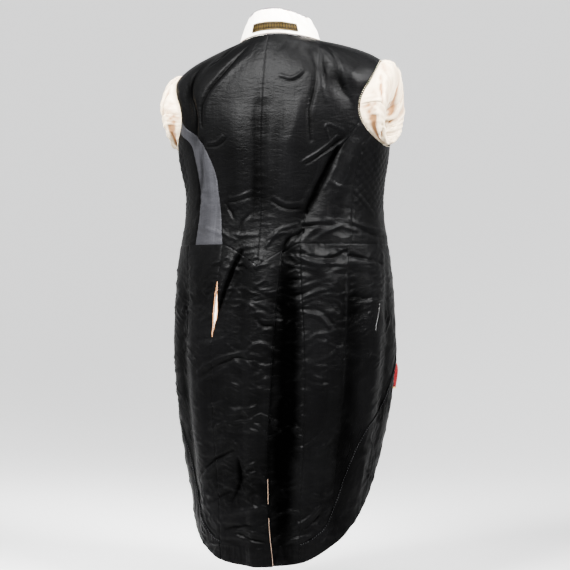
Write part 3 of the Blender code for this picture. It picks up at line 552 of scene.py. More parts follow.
    def nominal(self, share: Array) -> Array:
        """Returns: the drop at which seams are read for a row of the skirts."""
        foot = self.facing_height[0][1]
        last = self.hem_line[0][1] - foot
        above = self.waist_drop + (last - self.waist_drop) * share
        return np.where(share <= 1, above, last + foot * (share - 1))

    def even_drops(self, turn: float, top: float, bottom: float) -> Array:
        """Drops evenly spaced along the cloth.

        Args:
            turn: the turn at which the cloth is measured.
            top: the first drop.
            bottom: the last drop.

        Returns:
            Drops from top to bottom.
        """
        dense = np.linspace(top, bottom, 400)
        steps = np.linalg.norm(np.diff(self.base(turn, dense), axis=0), axis=1)
        length = np.concatenate([[0.0], np.cumsum(steps)])
        return np.interp(spread(0.0, length[-1], FINE), length, dense)


FORM = CoatForm()


@dataclass
class Patch:
    """A grid of places on a panel, which may share its vertices with another grid."""

    turn: Array
    drop: Array
    ids: Array | None = None

    def __post_init__(self) -> None:
        """Numbers the points row by row where no numbers are given."""
        if self.ids is None:
            self.ids = np.arange(self.turn.size).reshape(self.turn.shape)


@dataclass
class Cloth:
    """A thin wall of cloth with an outer and an inner face and rounded edges.

    Attributes:
        name: the piece's name.
        middle: the points of the wall's middle.
        normal: the direction out of the wall at each point.
        quads: four point numbers for each face.
        chart: two lengths in metres for each point, across and along the cloth.
        relief: how far folds lift each point.
        wall: the wall's thickness.
        pucker: the height of the puckers along its edges.
        flat: the width and length that the cloth is cut to, in metres.
    """

    name: str
    middle: Array
    normal: Array
    quads: Array
    chart: Array
    relief: Array
    wall: float = WALL
    pucker: float = 0.0006
    flat: tuple[float, float] = (0.0, 0.0)

    def border(self) -> Array:
        """Returns: pairs of point numbers along the edges, in the faces' order."""
        pairs = np.concatenate([self.quads[:, [i, (i + 1) % 4]] for i in range(4)])
        pairs = pairs[pairs[:, 0] != pairs[:, 1]]
        span = len(self.middle) + 1
        forward = pairs[:, 0] * span + pairs[:, 1]
        backward = pairs[:, 1] * span + pairs[:, 0]
        return pairs[~np.isin(forward, backward)]

    def edge_distance(self, border: Array) -> tuple[Array, Array]:
        """How far each point is from the cloth's edge.

        Args:
            border: pairs of point numbers along the edges.

        Returns:
            The distances and the nearest edge points.
        """
        rim = self.middle[np.unique(border)]
        distance, nearest = np.empty(len(self.middle)), np.empty((len(self.middle), 3))
        for start in range(0, len(self.middle), 2000):
            some = self.middle[start : start + 2000]
            square = (some**2).sum(1)[:, None] + (rim**2).sum(1)[None] - 2 * some @ rim.T
            closest = square.argmin(1)
            distance[start : start + 2000] = np.sqrt(np.maximum(square[np.arange(len(some)), closest], 0))
            nearest[start : start + 2000] = rim[closest]
        return distance, nearest

    def build(self) -> Piece:
        """Makes the wall's mesh.

        Returns:
            The piece, with its chart as UVMap and its folds as the attribute relief.
        """
        border = self.border()
        distance, nearest = self.edge_distance(border)
        ripple = noise(nearest[:, 2] / 0.0075, (nearest[:, 0] + nearest[:, 1]) / 0.0075, 61)
        lift = self.pucker * np.clip(ripple + 0.15, -0.7, 1.0) * np.exp(-((distance / 0.013) ** 2))
        middle = self.middle + self.normal * lift[:, None]
        soft = (1 - smooth(distance, 0.0, 0.0024)) * self.wall * 0.26
        outer = middle + self.normal * (self.wall / 2 - soft)[:, None]
        inner = middle - self.normal * (self.wall / 2 - soft)[:, None]
        count = len(middle)
        rim = np.stack([border[:, 1], border[:, 0], border[:, 0] + count, border[:, 1] + count], axis=1)
        faces = np.concatenate([self.quads, self.quads[:, ::-1] + count, rim])
        mesh = bpy.data.meshes.new(self.name)
        mesh.from_pydata(np.concatenate([outer, inner]).tolist(), [], faces.tolist())
        mesh.validate()
        corners = np.empty(len(mesh.loops), dtype=np.int64)
        mesh.loops.foreach_get("vertex_index", corners)
        chart = np.concatenate([self.chart, self.chart])[corners]
        mesh.uv_layers.new(name="UVMap").data.foreach_set("uv", chart.astype(np.float32).ravel())
        folds = mesh.attributes.new("relief", "FLOAT", "POINT")
        height = np.clip(0.5 + np.concatenate([self.relief, -self.relief]) / 0.010, 0, 1)
        folds.data.foreach_set("value", height.astype(np.float32))
        mesh.shade_smooth()
        mesh.set_sharp_from_angle(angle=math.radians(65))
        piece = bpy.data.objects.new(self.name, mesh)
        bpy.context.collection.objects.link(piece)
        return piece

    def area(self) -> float:
        """Returns: the area of the cloth's middle in square metres."""
        a, b, c, d = (self.middle[self.quads[:, i]] for i in range(4))
        first = np.linalg.norm(np.cross(b - a, c - a), axis=1)
        second = np.linalg.norm(np.cross(c - a, d - a), axis=1)
        return float((first + second).sum() / 2)


def grid_quads(ids: Array) -> Array:
    """Returns: the faces between the rows and columns of point numbers."""
    return np.stack([ids[:-1, :-1], ids[1:, :-1], ids[1:, 1:], ids[:-1, 1:]], axis=-1).reshape(-1, 4)


def cut_size(points: list[Array]) -> tuple[float, float]:
    """Measures the rectangle that a panel is cut from.

    Args:
        points: grids of its points, from the top down.

    Returns:
        The longest row's length and the grids' longest columns' length in all, in metres.
    """
    width = max(float(np.linalg.norm(np.diff(grid, axis=1), axis=2).sum(1).max()) for grid in points)
    length = sum(float(np.linalg.norm(np.diff(grid, axis=0), axis=2).sum(0).max()) for grid in points)
    return width, length


def form_cloth(
    name: str,
    side: Side,
    patches: list[Patch],
    out: Callable[[Array], Array] | float = 0.0,
    wall: float = WALL,
    band: bool = False,
) -> Cloth:
    """Lays cloth on the coat's form.

    Args:
        name: the piece's name.
        side: the side it is on.
        patches: grids of places, whose turns are positive on both sides.
        out: how far out the cloth's middle lies, or a function of the turn that gives it.
        wall: the wall's thickness.
        band: whether the cloth has a faced band with small pleats along its hem.

    Returns:
        The cloth.
    """
    size = max(int(patch.ids.max()) for patch in patches) + 1
    turn, drop = np.zeros(size), np.zeros(size)
    for patch in patches:
        turn[patch.ids], drop[patch.ids] = patch.turn, patch.drop
    faces = np.concatenate([grid_quads(patch.ids) for patch in patches])
    real = turn * side.value
    away = out(real) if callable(out) else np.full(size, out)
    folds = FORM.lift(real, drop)
    if band:
        folds = folds + hem_band(real, drop)
    relief = folds - FOLD_LEFT_OUT * FORM.line_field(FORM.folds, real, drop, 0.0)
    base, normal = FORM.base(real, drop), FORM.normal(real, drop)
    if side is Side.RIGHT:
        faces = faces[:, ::-1]
    chart = np.stack([real * FORM.metres_per_degree(np.full(size, 0.4)), base[:, 2]], axis=1)
    middle = base + normal * (folds + away)[:, None]
    width, length = cut_size([middle[patch.ids] for patch in patches])
    cloth = Cloth(name, middle, normal, faces, chart, relief, wall, flat=(width, length))
    across, along = (float(part) * 1.06 for part in np.ptp(chart, axis=0))
    if cloth.area() < 0.4 * width * length:
        straight = cloth.area() > 0.4 * across * along
        cloth.flat = (across, along) if straight else (width, cloth.area() / (0.6 * width))
    return cloth


def hem_band(turn: Array, drop: Array) -> Array:
    """The faced band along the hem of a tail, with small uneven pleats.

    Args:
        turn: real turns in degrees.
        drop: drops in metres.

    Returns:
        Heights in metres.
    """
    above = FORM.hem(turn) - drop
    top = 0.036 + 0.0015 * noise(turn * 0.30, turn * 0, 77)
    inside = 1 - smooth(above, top - 0.0012, top)
    pleats = np.abs(noise(turn * 0.55, above / 0.05, 78)) ** 0.7 - 0.35
    return inside * (0.0007 + 0.0016 * pleats * smooth(above, 0.002, 0.012))


@dataclass(frozen=True)
class Body:
    """The upper part of one half: the back, the side body and the front."""

    side: Side
    princess_right: Rows = (
        (0.165, 53.8), (0.185, 50.5), (0.21, 45.5), (0.24, 40.0), (0.275, 34.0), (0.32, 28.0), (0.4, 22.0),
    )
    princess_left: Rows = (
        (0.15, 51.6), (0.166, 47.5), (0.186, 39.0), (0.218, 32.5), (0.265, 27.5), (0.312, 26.0), (0.4, 22.0),
    )
    side_right: Rows = ((0.195, 64.5), (0.215, 59.0), (0.25, 56.0), (0.312, 55.5), (0.4, 52.5))
    side_left: Rows = (
        (0.176, 56.5), (0.196, 47.0), (0.218, 43.0), (0.265, 41.5), (0.312, 42.0), (0.4, 43.5),
    )
    split_angle: float = 235.0

    @property
    def princess(self) -> Curve:
        """Returns: the turn of the seam between back and side body."""
        return Curve(self.princess_right if self.side is Side.RIGHT else self.princess_left)

    @property
    def side_seam(self) -> Curve:
        """Returns: the turn of the seam between side body and front."""
        return Curve(self.side_right if self.side is Side.RIGHT else self.side_left)

    def back(self) -> Cloth:
        """Returns: the back, from the centre seam to the shoulder, the armhole and the princess seam."""
        top = self.princess.rows[0][0]
        shoulder = FORM.even_drops(75.0, FORM.neck_drop, FORM.armhole_top)[:-1]
        angles = np.linspace(0.0, FORM.armhole_angle(top), 34)
        edge = FORM.armhole(angles)
        lower = spread(top, FORM.waist_drop, CRISP)[1:]
        drops = np.concatenate([shoulder, edge[:, 1], lower])
        outer = np.concatenate(
            [np.full(len(shoulder), 90.0), edge[:, 0], self.princess.at(lower)]
        ) - FORM.half_gap(drops)
        share = np.clip((drops - top) / (FORM.waist_drop - top), 0, 1)
        columns = np.linspace(0.0, 1.0, 104)
        inner = FORM.half_gap(drops)
        turn = inner[:, None] + (outer - inner)[:, None] * columns
        fall = (FORM.waist(turn) - FORM.waist_drop) * share[:, None]
        drop = drops[:, None] + fall - SEAM_SHOWN / 2 * share[:, None]
        return form_cloth(f"lining_back_{self.side.word}", self.side, [Patch(turn, drop)])

    def side_body(self) -> Cloth:
        """Returns: the side body, between the princess seam and the side seam."""
        first, last = self.princess.rows[0], self.side_seam.rows[0]
        share = spread(0.0, 1.0, FINE, FORM.waist_drop - first[0])[:, None]
        reach = np.linspace(0.0, 1.0, 26)[None]
        back_drop = first[0] + (FORM.waist_drop - first[0]) * share
        side_drop = last[0] + (FORM.waist_drop - last[0]) * share
        low = self.princess.at(back_drop) + FORM.half_gap(back_drop)
        high = self.side_seam.at(side_drop) - FORM.half_gap(side_drop)
        start, end = FORM.armhole_angle(first[0]), FORM.armhole_angle(last[0])
        edge = FORM.armhole(start + (end - start) * reach)
        bend = (1 - share) ** 3
        turn = low + (high - low) * reach + (edge[..., 0] - first[1] - (last[1] - first[1]) * reach) * bend
        drop = back_drop + (side_drop - back_drop) * reach
        drop = drop + (edge[..., 1] - first[0] - (last[0] - first[0]) * reach) * bend - SEAM_SHOWN / 2 * share
        return form_cloth(f"lining_side_body_{self.side.word}", self.side, [Patch(turn, drop)])

    def front(self) -> Cloth:
        """Returns: the front, from the shoulder and the neck round under the armhole to the side seam."""
        top = self.side_seam.rows[0][0]
        last = 180.0 - float(FORM.half_gap(np.array(FORM.waist_drop)))
        shoulder = FORM.even_drops(110.0, FORM.neck_drop, FORM.armhole_top)[:-1]
        edge = FORM.armhole(np.linspace(360.0, self.split_angle, 38))
        drops = np.concatenate([shoulder, edge[:, 1]])
        start = np.concatenate([np.full(len(shoulder), 90.0), edge[:, 0]]) + FORM.half_gap(drops)
        upper_turn = start[:, None] + (last - start)[:, None] * np.linspace(0, 1, 74)
        upper_drop = np.repeat(drops[:, None], 74, axis=1)
        upper_ids = np.arange(upper_turn.size).reshape(upper_turn.shape)
        under = FORM.armhole(np.linspace(FORM.armhole_angle(top), self.split_angle, 52)[:-1])
        under[0, 0] += float(FORM.half_gap(np.array(top)))
        top_turn = np.concatenate([under[:, 0], upper_turn[-1]])[None]
        top_drop = np.concatenate([under[:, 1], upper_drop[-1]])[None]
        share = spread(0.0, 1.0, FINE, 0.205)[:, None]
        waist_start = float(self.side_seam.at(FORM.waist_drop) + FORM.half_gap(np.array(FORM.waist_drop)))
        reach = (top_turn - top_turn[0, 0]) / (last - top_turn[0, 0])
        foot = waist_start + (last - waist_start) * reach
        drop = top_drop + (FORM.waist(foot) - SEAM_SHOWN / 2 - top_drop) * share
        seam_drop = top + (FORM.waist_drop - top - SEAM_SHOWN / 2) * share
        seam_turn = self.side_seam.at(seam_drop) + FORM.half_gap(seam_drop)
        bend = seam_turn - top_turn[0, 0] - (waist_start - top_turn[0, 0]) * share
        bend = bend * np.clip(1 - reach / 0.35, 0, 1)
        turn = top_turn + (foot - top_turn) * share + bend
        drop[:, 0] = seam_drop[:, 0]
        count = upper_turn.size
        fresh = count + np.arange(turn.size - turn.shape[1]).reshape(turn.shape[0] - 1, -1)
        corner = count + fresh.size + np.arange(len(under))
        ids = np.concatenate([np.concatenate([corner, upper_ids[-1]])[None], fresh])
        patches = [Patch(upper_turn, upper_drop, upper_ids), Patch(turn, drop, ids)]
        return form_cloth(f"lining_front_{self.side.word}", self.side, patches)


@dataclass(frozen=True)
class Skirts:
    """The lower part of one half: the centre back tail, the panel beside it, the skirt and its facing."""

    side: Side
    pocket_top: float = 0.470
    pocket_bottom: float = 0.576
    pocket_gape: float = 0.0058
    facing_wall: float = 0.0011
    bag_wall: float = 0.0010
    lift: float = 0.0062
    sink: float = 0.0030

    def gape(self, drop: Array) -> Array:
        """Returns: half the width of the left pocket's slit as a turn."""
        share = np.clip((drop - self.pocket_top) / (self.pocket_bottom - self.pocket_top), 0, 1)
        wide = np.degrees(self.pocket_gape / 2 / FORM.section(drop, 4)) * np.sin(math.pi * share)
        return wide if self.side is Side.LEFT else wide * 0

    def pleat(self, drop: Array, way: int) -> Array:
        """Returns: the turn of an edge at the pleat seam, way 1 for the skirt and -1 for the tail."""
        return Curve(FORM.pleat_seam).at(drop) + way * (FORM.half_gap(drop) + self.gape(drop))

    def rows(self, shares: Array, low: Array, high: Array, count: int) -> Patch:
        """A grid from the waist to the lower edge.

        Args:
            shares: how far down each row is.
            low: the first turn of each row.
            high: the last turn of each row.
            count: the number of columns.

        Returns:
            The grid.
        """
        turn = low[:, None] + (high - low)[:, None] * np.linspace(0, 1, count)
        return Patch(turn, FORM.hang(turn, shares[:, None]))

    def tail(self) -> Cloth:
        """Returns: the centre back tail; the left one laps over the right one."""
        shares = np.concatenate([np.linspace(0, 1, 236)[:-1], np.linspace(1, 2, 16)])
        drop = FORM.nominal(shares)
        lap = -Curve(FORM.vent_edge).at(drop)
        inner = np.full(len(drop), FORM.underlap_turn) if self.side is Side.RIGHT else lap
        patch = self.rows(shares, inner, self.pleat(drop, -1), 60 if self.side is Side.LEFT else 46)

        def out(turn: Array) -> Array:
            if self.side is Side.RIGHT:
                return -self.sink * smooth(20.0 - turn, 0.0, 8.0)
            return self.lift * smooth(turn + 9.0, 0.0, 7.0)

        return form_cloth(f"lining_tail_{self.side.word}", self.side, [patch], out, band=True)

    def skirt_patches(self) -> tuple[Patch, Patch, int]:
        """Returns: the grid of the panel, the grid of the rest, and the first row of the facing."""
        shares = np.concatenate([np.linspace(0, 1, 190)[:-1], np.linspace(1, 2, 36)])
        drop = FORM.nominal(shares)
        seam = Curve(FORM.skirt_seam).at(drop)
        panel = self.rows(shares, self.pleat(drop, 1), seam - FORM.half_gap(drop), 38)
        rest = self.rows(shares, seam + FORM.half_gap(drop), np.full(len(drop), FORM.front_turn), 84)
        return panel, rest, 189

    def panels(self) -> list[Cloth]:
        """Returns: the skirt panel beside the pleat seam, and the skirt round to the cutaway edge."""
        panel, rest, _ = self.skirt_patches()
        return [
            form_cloth(f"lining_skirt_panel_{self.side.word}", self.side, [panel]),
            form_cloth(f"lining_skirt_{self.side.word}", self.side, [rest]),
        ]

    def facing(self) -> Cloth:
        """Returns: the border facing along the cutaway edge and the hem."""
        panel, rest, first = self.skirt_patches()
        turn = np.concatenate([panel.turn[first:], rest.turn[first:, 1:-1]], axis=1)
        drop = np.concatenate([panel.drop[first:], rest.drop[first:, 1:-1]], axis=1)
        out = WALL / 2 + SEAM_GAP + self.facing_wall / 2
        name = f"border_facing_{self.side.word}"
        cloth = form_cloth(name, self.side, [Patch(turn, drop)], out, self.facing_wall)
        ridge = np.clip(noise(turn.ravel() * 0.42, drop.ravel() / 0.05, 79), 0, 1) * 0.0014
        cloth.middle += cloth.normal * ridge[:, None]
        return cloth

    def pocket_bag(self) -> Cloth:
        """Returns: the cloth behind the left pocket's slit."""
        drop = spread(self.pocket_top - 0.024, self.pocket_bottom + 0.037, FINE)
        low, high = self.pleat(drop, 1) - 4.0, self.pleat(drop, 1) + 12.0
        turn = low[:, None] + (high - low)[:, None] * np.linspace(0, 1, 20)
        depth = -(WALL / 2 + 0.0012 + self.bag_wall / 2)
        patch = Patch(turn, np.repeat(drop[:, None], 20, axis=1))
        return form_cloth("pocket_lining", self.side, [patch], depth, self.bag_wall)


@dataclass(frozen=True)
class Sleeve:
    """A sleeve: its puff at the armhole, its turned-in length and its cuff."""

    side: Side
    # scale, out, sink
    puff: Rows = (
        (0.95, 0.001, 0.0), (0.965, 0.012, -0.001), (0.975, 0.022, -0.002), (0.92, 0.035, 0.0),
        (0.8, 0.041, 0.007), (0.64, 0.038, 0.016), (0.5, 0.024, 0.028), (0.44, 0.006, 0.032),
        (0.42, -0.016, 0.032),
    )
    # drop, turn, half width, half depth, inset
    length: Rows = (
        (0.215, 92.0, 0.056, 0.018, 0.04), (0.28, 98.0, 0.064, 0.015, 0.034),
        (0.35, 107.0, 0.066, 0.014, 0.031), (0.42, 118.0, 0.064, 0.013, 0.029),
        (0.48, 129.0, 0.06, 0.013, 0.026), (0.54, 140.0, 0.053, 0.013, 0.023),
        (0.59, 146.0, 0.052, 0.013, 0.012),
    )
    cuff_rows: Rows = (
        (0.591, 146.0, 0.052, 0.013, 0.012), (0.612, 146.5, 0.056, 0.013, -0.01),
        (0.632, 143.0, 0.06, 0.013, -0.028), (0.676, 142.0, 0.06, 0.012, -0.026),
    )
    # Creases of the puff, in degrees and millimetres: angle 1, length 1, angle 2, length 2, half width,
    # height, bow
    creases: Rows = in_metres((
        (48, 19, 90, 31, 2.4, -4, 1), (46, 25, 92, 37, 3, 2.2, 1), (15, 12, 46, 28, 3.2, -1.8, 2),
        (62, 6, 84, 18, 3, -1.2, 1), (88, 6, 103, 16, 2.2, -3.2, 1), (94, 3, 112, 12, 2.2, -2.8, -1),
        (86, 13, 100, 21, 2.2, -2.4, 1), (97, 18, 112, 25, 2.8, 2.4, 1), (104, 10, 130, 4, 2.2, -3, 0),
        (112, 15, 158, 8, 4.8, -7, 1), (110, 22, 150, 17, 3, 3.2, 1), (114, 5, 150, 2, 2.6, 2, 0),
        (138, 25, 150, 19, 2.6, -4.5, 0), (160, 16, 185, 12, 3, -4, 1), (150, 32, 176, 26, 3, 2.8, 1),
        (120, 33, 140, 30, 2.8, -2.6, 1), (346, 58, 312, 78, 6, -5, 2), (292, 77, 284, 84, 3, -5.5, 0),
        (325, 52, 300, 66, 3.6, 2.8, 1), (200, 12, 235, 20, 3, -3.2, 2), (225, 6, 262, 16, 2.6, -3, 1),
        (270, 10, 310, 26, 3.4, -3.4, 2), (300, 18, 345, 30, 3, 2.4, 1),
    ))
    fullness: float = 0.56
    gathers: int = 9
    gather_depth: float = 0.0060
    degree: float = 0.0013
    flat_scale: float = 0.6
    flat_out: float = 0.02
    seam_gap: float = 0.0006

    def armhole_frame(self) -> tuple[Array, Array]:
        """Returns: the armhole's centre and the direction out of it."""
        keys = FORM.armhole(np.arange(0, 360, 15))
        points = FORM.base(keys[:, 0] * self.side.value, keys[:, 1])
        up, back = unit(points[0] - points[12]), unit(points[6] - points[18])
        out = np.cross(up, back) * self.side.value
        return points.mean(0), unit(out)

    def puff_ring(self, row: tuple[float, ...], angle: Array) -> Array:
        """A ring of the puff.

        Args:
            row: the ring's scale, reach out of the armhole and sink.
            angle: angles round the armhole.

        Returns:
            Points of the cloth's middle.
        """
        scale, out, sink = row
        centre, away = self.armhole_frame()
        keys = FORM.armhole(angle)
        offset = (FORM.base(keys[:, 0] * self.side.value, keys[:, 1]) - centre) * scale
        flatness = 1.0 if scale < self.flat_scale else min(1.0, max(0.0, out / self.flat_out))
        flat = offset - (offset @ away)[:, None] * away * flatness
        gather = self.gather_depth * np.cos(np.radians(self.gathers * angle)) * (1.0 - scale)
        flat = flat + unit(flat) * gather[:, None]
        reach = out * (1.0 - self.fullness * (1.0 - np.cos(np.radians(angle))) / 2)
        return centre + flat + reach[:, None] * away - np.array([0.0, 0.0, sink])

    def flat_ring(self, row: tuple[float, ...], angle: Array) -> Array:
        """Returns: a ring of the turned-in length, from its drop, turn, half width, half depth and inset."""
        drop, turn, half_width, half_depth, inset = row
        across = -half_width * np.sin(np.radians(angle))
        depth = -half_depth * np.cos(np.radians(angle))
        place = self.side.value * (turn + across / float(FORM.metres_per_degree(np.array(drop))))
        drops = np.full_like(place, drop)
        return FORM.base(place, drops) + FORM.normal(place, drops) * (depth - inset)[:, None]

    def path(self, rings: Array, spacing: float) -> Array:
        """A smooth tube through rings.

        Args:
            rings: rows of points.
            spacing: the length of a step along the tube.

        Returns:
            Many rows of points.
        """
        padded = np.concatenate([2 * rings[:1] - rings[1:2], rings, 2 * rings[-1:] - rings[-2:-1]])
        rows = []
        for i in range(len(rings) - 1):
            a, b, c, d = padded[i : i + 4]
            steps = max(2, round(float(np.linalg.norm(c - b, axis=1).mean()) / spacing))
            for t in np.linspace(0, 1, steps, endpoint=False):
                rows.append(0.5 * (2 * b + (c - a) * t + (2 * a - 5 * b + 4 * c - d) * t**2
                                   + (3 * b - a - 3 * c + d) * t**3))
        rows.append(rings[-1])
        return np.stack(rows)

    def tube_normals(self, rows: Array) -> Array:
        """Returns: directions out of a tube of rows of points round it."""
        round_it = np.roll(rows, -1, axis=1) - np.roll(rows, 1, axis=1)
        along = np.empty_like(rows)
        along[1:-1] = rows[2:] - rows[:-2]
        along[0], along[-1] = rows[1] - rows[0], rows[-1] - rows[-2]
        normals = unit(np.cross(round_it, along))
        outward = rows[1] - rows[1].mean(0)
        return normals * (1.0 if float((normals[1] * outward).sum()) > 0 else -1.0)

    def cloths(self) -> list[Cloth]:
        """Returns: the top sleeve and the under sleeve, seamed down the front and back of the arm."""
        sides = 216
        angle = np.arange(sides) * 360.0 / sides
        rings = [self.puff_ring(row, angle) for row in self.puff]
        rings += [self.flat_ring(row, angle) for row in self.length]
        rows = self.path(np.stack(rings), 0.0038)
        normals = self.tube_normals(rows)
        steps = np.linalg.norm(np.diff(rows, axis=0), axis=2).mean(1)
        down = np.concatenate([[0.0], np.cumsum(steps)])
        folds = self.folds(np.radians(angle)[None], down[:, None])
        rows = rows + normals * folds[..., None]
        girth = np.linalg.norm(np.roll(rows[0], -1, axis=0) - rows[0], axis=1).sum()
        pieces = []
        for name, first in (("sleeve_lining_top", -sides // 4), ("sleeve_lining_under", sides // 4)):
            columns = np.arange(first, first + sides // 2 + 1)
            part, normal, fold = (array[:, columns % sides].copy() for array in (rows, normals, folds))
            for edge, step in ((0, 1), (-1, -2)):
                part[:, edge] += unit(part[:, step] - part[:, edge]) * self.seam_gap / 2
            ids = np.arange(part.shape[0] * part.shape[1]).reshape(part.shape[:2])
            chart = np.stack(np.broadcast_arrays(columns[None] * girth / sides, -down[:, None]), axis=-1)
            pieces.append(Cloth(
                f"{name}_{self.side.word}", part.reshape(-1, 3), normal.reshape(-1, 3),
                self.outward(ids, part, normal), chart.reshape(-1, 2), fold.ravel(),
                WALL, 0.0004, cut_size([part]),
            ))
        return pieces

    def outward(self, ids: Array, points: Array, normal: Array) -> Array:
        """Returns: the grid's faces, turned to face out."""
        across, down = points[:, 1:] - points[:, :-1], points[1:] - points[:-1]
        cross = np.cross(down[:, :-1], across[:-1])
        quads = grid_quads(ids)
        return quads if float((cross * normal[:-1, :-1]).sum()) > 0 else quads[:, ::-1]

    def folds(self, angle: Array, down: Array) -> Array:
        """Folds of the sleeve: gathers from the armhole, long soft folds and a crumpled mouth.

        Args:
            angle: angles round the sleeve in radians.
            down: lengths along the sleeve from the armhole.

        Returns:
            Heights in metres.
        """
        ring = angle / math.tau
        shown = smooth(down, 0.004, 0.030) * (1 - 0.6 * smooth(down, 0.16, 0.24))
        hash_ring = np.mod(ring, 1.0)
        wrap = 1 - np.abs(2 * hash_ring - 1)
        bend = 0.16 * noise(wrap * 6, down / 0.05, 91 + self.side.value)
        long_folds = noise((wrap + bend * 0.25) * 15, down / 0.085 + 3, 92 + self.side.value)
        sharp = 1 - np.abs(noise((wrap + bend * 0.2) * 9, down / 0.060, 93 + self.side.value)) * 2.4
        gathers = noise(wrap * 46, down / 0.040, 94 + self.side.value) * (1 - smooth(down, 0.006, 0.035))
        mouth = noise(wrap * 22, down / 0.020, 95 + self.side.value) * smooth(down, 0.045, 0.075)
        mouth = mouth * (1 - smooth(down, 0.13, 0.17))
        height = 0.0020 * long_folds + 0.0020 * (np.clip(sharp, 0, 1) ** 2 - 0.3)
        place, long = np.broadcast_arrays(hash_ring * 360.0, down)
        total = np.zeros_like(place)
        for row in self.creases:
            near, past, side = off_line(row, place, long, self.degree)
            away = np.hypot(past, side - row[6] * np.sin(math.pi * near))
            total += row[5] * np.exp(-((away / row[4]) ** 2)) * np.sin(math.pi * (0.15 + 0.7 * near)) ** 0.6
        return height * shown + total + 0.0011 * gathers * smooth(down, 0.0, 0.004) + 0.0022 * mouth

    def cuff(self) -> Cloth:
        """Returns: the cuff, which ends the sleeve."""
        sides = 132
        angle = np.arange(sides) * 360.0 / sides
        rows = self.path(np.stack([self.flat_ring(row, angle) for row in self.cuff_rows]), 0.0028)
        normals = self.tube_normals(rows)
        wrap = np.abs(angle / 180 - 1)[None]
        down = np.linspace(0, 0.085, len(rows))[:, None]
        folds = 0.0008 * noise(wrap * 7, down / 0.03, 96)
        rows = rows + normals * folds[..., None]
        ids = np.arange(rows.shape[0] * sides).reshape(rows.shape[:2])
        closed = np.concatenate([ids, ids[:, :1]], axis=1)
        around = np.concatenate([rows, rows[:, :1]], axis=1)
        facing = np.concatenate([normals, normals[:, :1]], axis=1)
        chart = np.stack(np.broadcast_arrays(angle[None] * 0.0006, -down), axis=-1).reshape(-1, 2)
        return Cloth(
            f"cuff_cloth_{self.side.word}", rows.reshape(-1, 3), normals.reshape(-1, 3),
            self.outward(closed, around, facing), chart, folds.ravel(), WALL, 0.0003, cut_size([around]),
        )


@dataclass(frozen=True)
class Collar:
    """The stand collar, its bindings and the bare label sewn on it."""

    half_width: float = 0.059
    back: float = 0.086
    front: float = -0.031
    rises: Triple = (0.050, 0.035, -0.004)
    bulge: float = 0.002
    front_turn: float = 177.0
    label_turns: tuple[float, float] = (-28.0, 43.0)
    label_span: tuple[float, float] = (0.14, 0.47)
    label_wall: float = 0.0010

    def point(self, turn: Array, share: Array) -> Array:
        """Points of the collar's middle.

        Args:
            turn: turns in degrees.
            share: 0 at the neck seam and 1 at the top.

        Returns:
            Points.
        """
        turn, share = np.broadcast_arrays(np.asarray(turn, float), np.asarray(share, float))
        base = FORM.base(turn, np.full(turn.shape, FORM.neck_drop)) + np.array([0, 0, WALL / 2 + SEAM_GAP])
        angle = np.radians(turn)
        centre = (self.back + self.front) / 2
        x, y = -self.half_width * np.sin(angle), centre + (self.back - self.front) / 2 * np.cos(angle)
        toward = np.cos(angle) ** 2
        z = self.rises[1] * (1 - toward) + np.where(np.abs(turn) < 90, self.rises[0], self.rises[2]) * toward
        outward = unit(np.stack([x, y - centre, x * 0], axis=-1))
        top = np.stack([x, y, z], axis=-1)
        bulge = outward * self.bulge * np.sin(math.pi * share)[..., None]
        return base + (top - base) * share[..., None] + bulge

    def normal(self, turn: Array, share: Array) -> Array:
        """Returns: directions out of the collar."""
        across = self.point(turn + 0.2, share) - self.point(turn - 0.2, share)
        up = self.point(turn, share + 0.001) - self.point(turn, share - 0.001)
        return unit(np.cross(across, up))

    def lay(self, name: str, turns: Array, shares: Array, out: float, wall: float) -> Cloth:
        """Cloth on the collar.

        Args:
            name: the piece's name.
            turns: its columns.
            shares: its rows, from the top down.
            out: how far out its middle lies.
            wall: its thickness.

        Returns:
            The cloth.
        """
        turn, share = np.meshgrid(turns, shares)
        flat_turn, flat_share = turn.ravel(), share.ravel()
        middle, normal = self.point(flat_turn, flat_share), self.normal(flat_turn, flat_share)
        away = 0.0009 * noise(flat_turn / 13.0, flat_share * 2.4, 71)
        away = (away + 0.0004 * noise(flat_turn / 5.0, flat_share * 5, 72)) * smooth(flat_share, 0.0, 0.15)
        ids = np.arange(turn.size).reshape(turn.shape)
        quads = grid_quads(ids)
        a, b, d = middle[quads[0, 0]], middle[quads[0, 1]], middle[quads[0, 3]]
        if float(np.cross(b - a, d - a) @ normal[quads[0, 0]]) < 0:
            quads = quads[:, ::-1]
        chart = np.stack([flat_turn * 0.00125, flat_share * 0.055], axis=1)
        middle = middle + normal * (away + out)[:, None]
        flat = cut_size([middle.reshape(turn.shape + (3,))])
        return Cloth(name, middle, normal, quads, chart, away, wall, 0.0002, flat)

    def cloth(self) -> Cloth:
        """Returns: the collar's lining."""
        turns = np.linspace(-self.front_turn, self.front_turn, 190)
        return self.lay("collar_lining", turns, np.linspace(1, 0, 22), 0.0, WALL)

    def label(self) -> Cloth:
        """Returns: the bare woven label."""
        out = WALL / 2 + SEAM_GAP + self.label_wall / 2
        shares = np.linspace(self.label_span[1], self.label_span[0], 12)
        return self.lay("bare_label", np.linspace(*self.label_turns, 52), shares, out, self.label_wall)


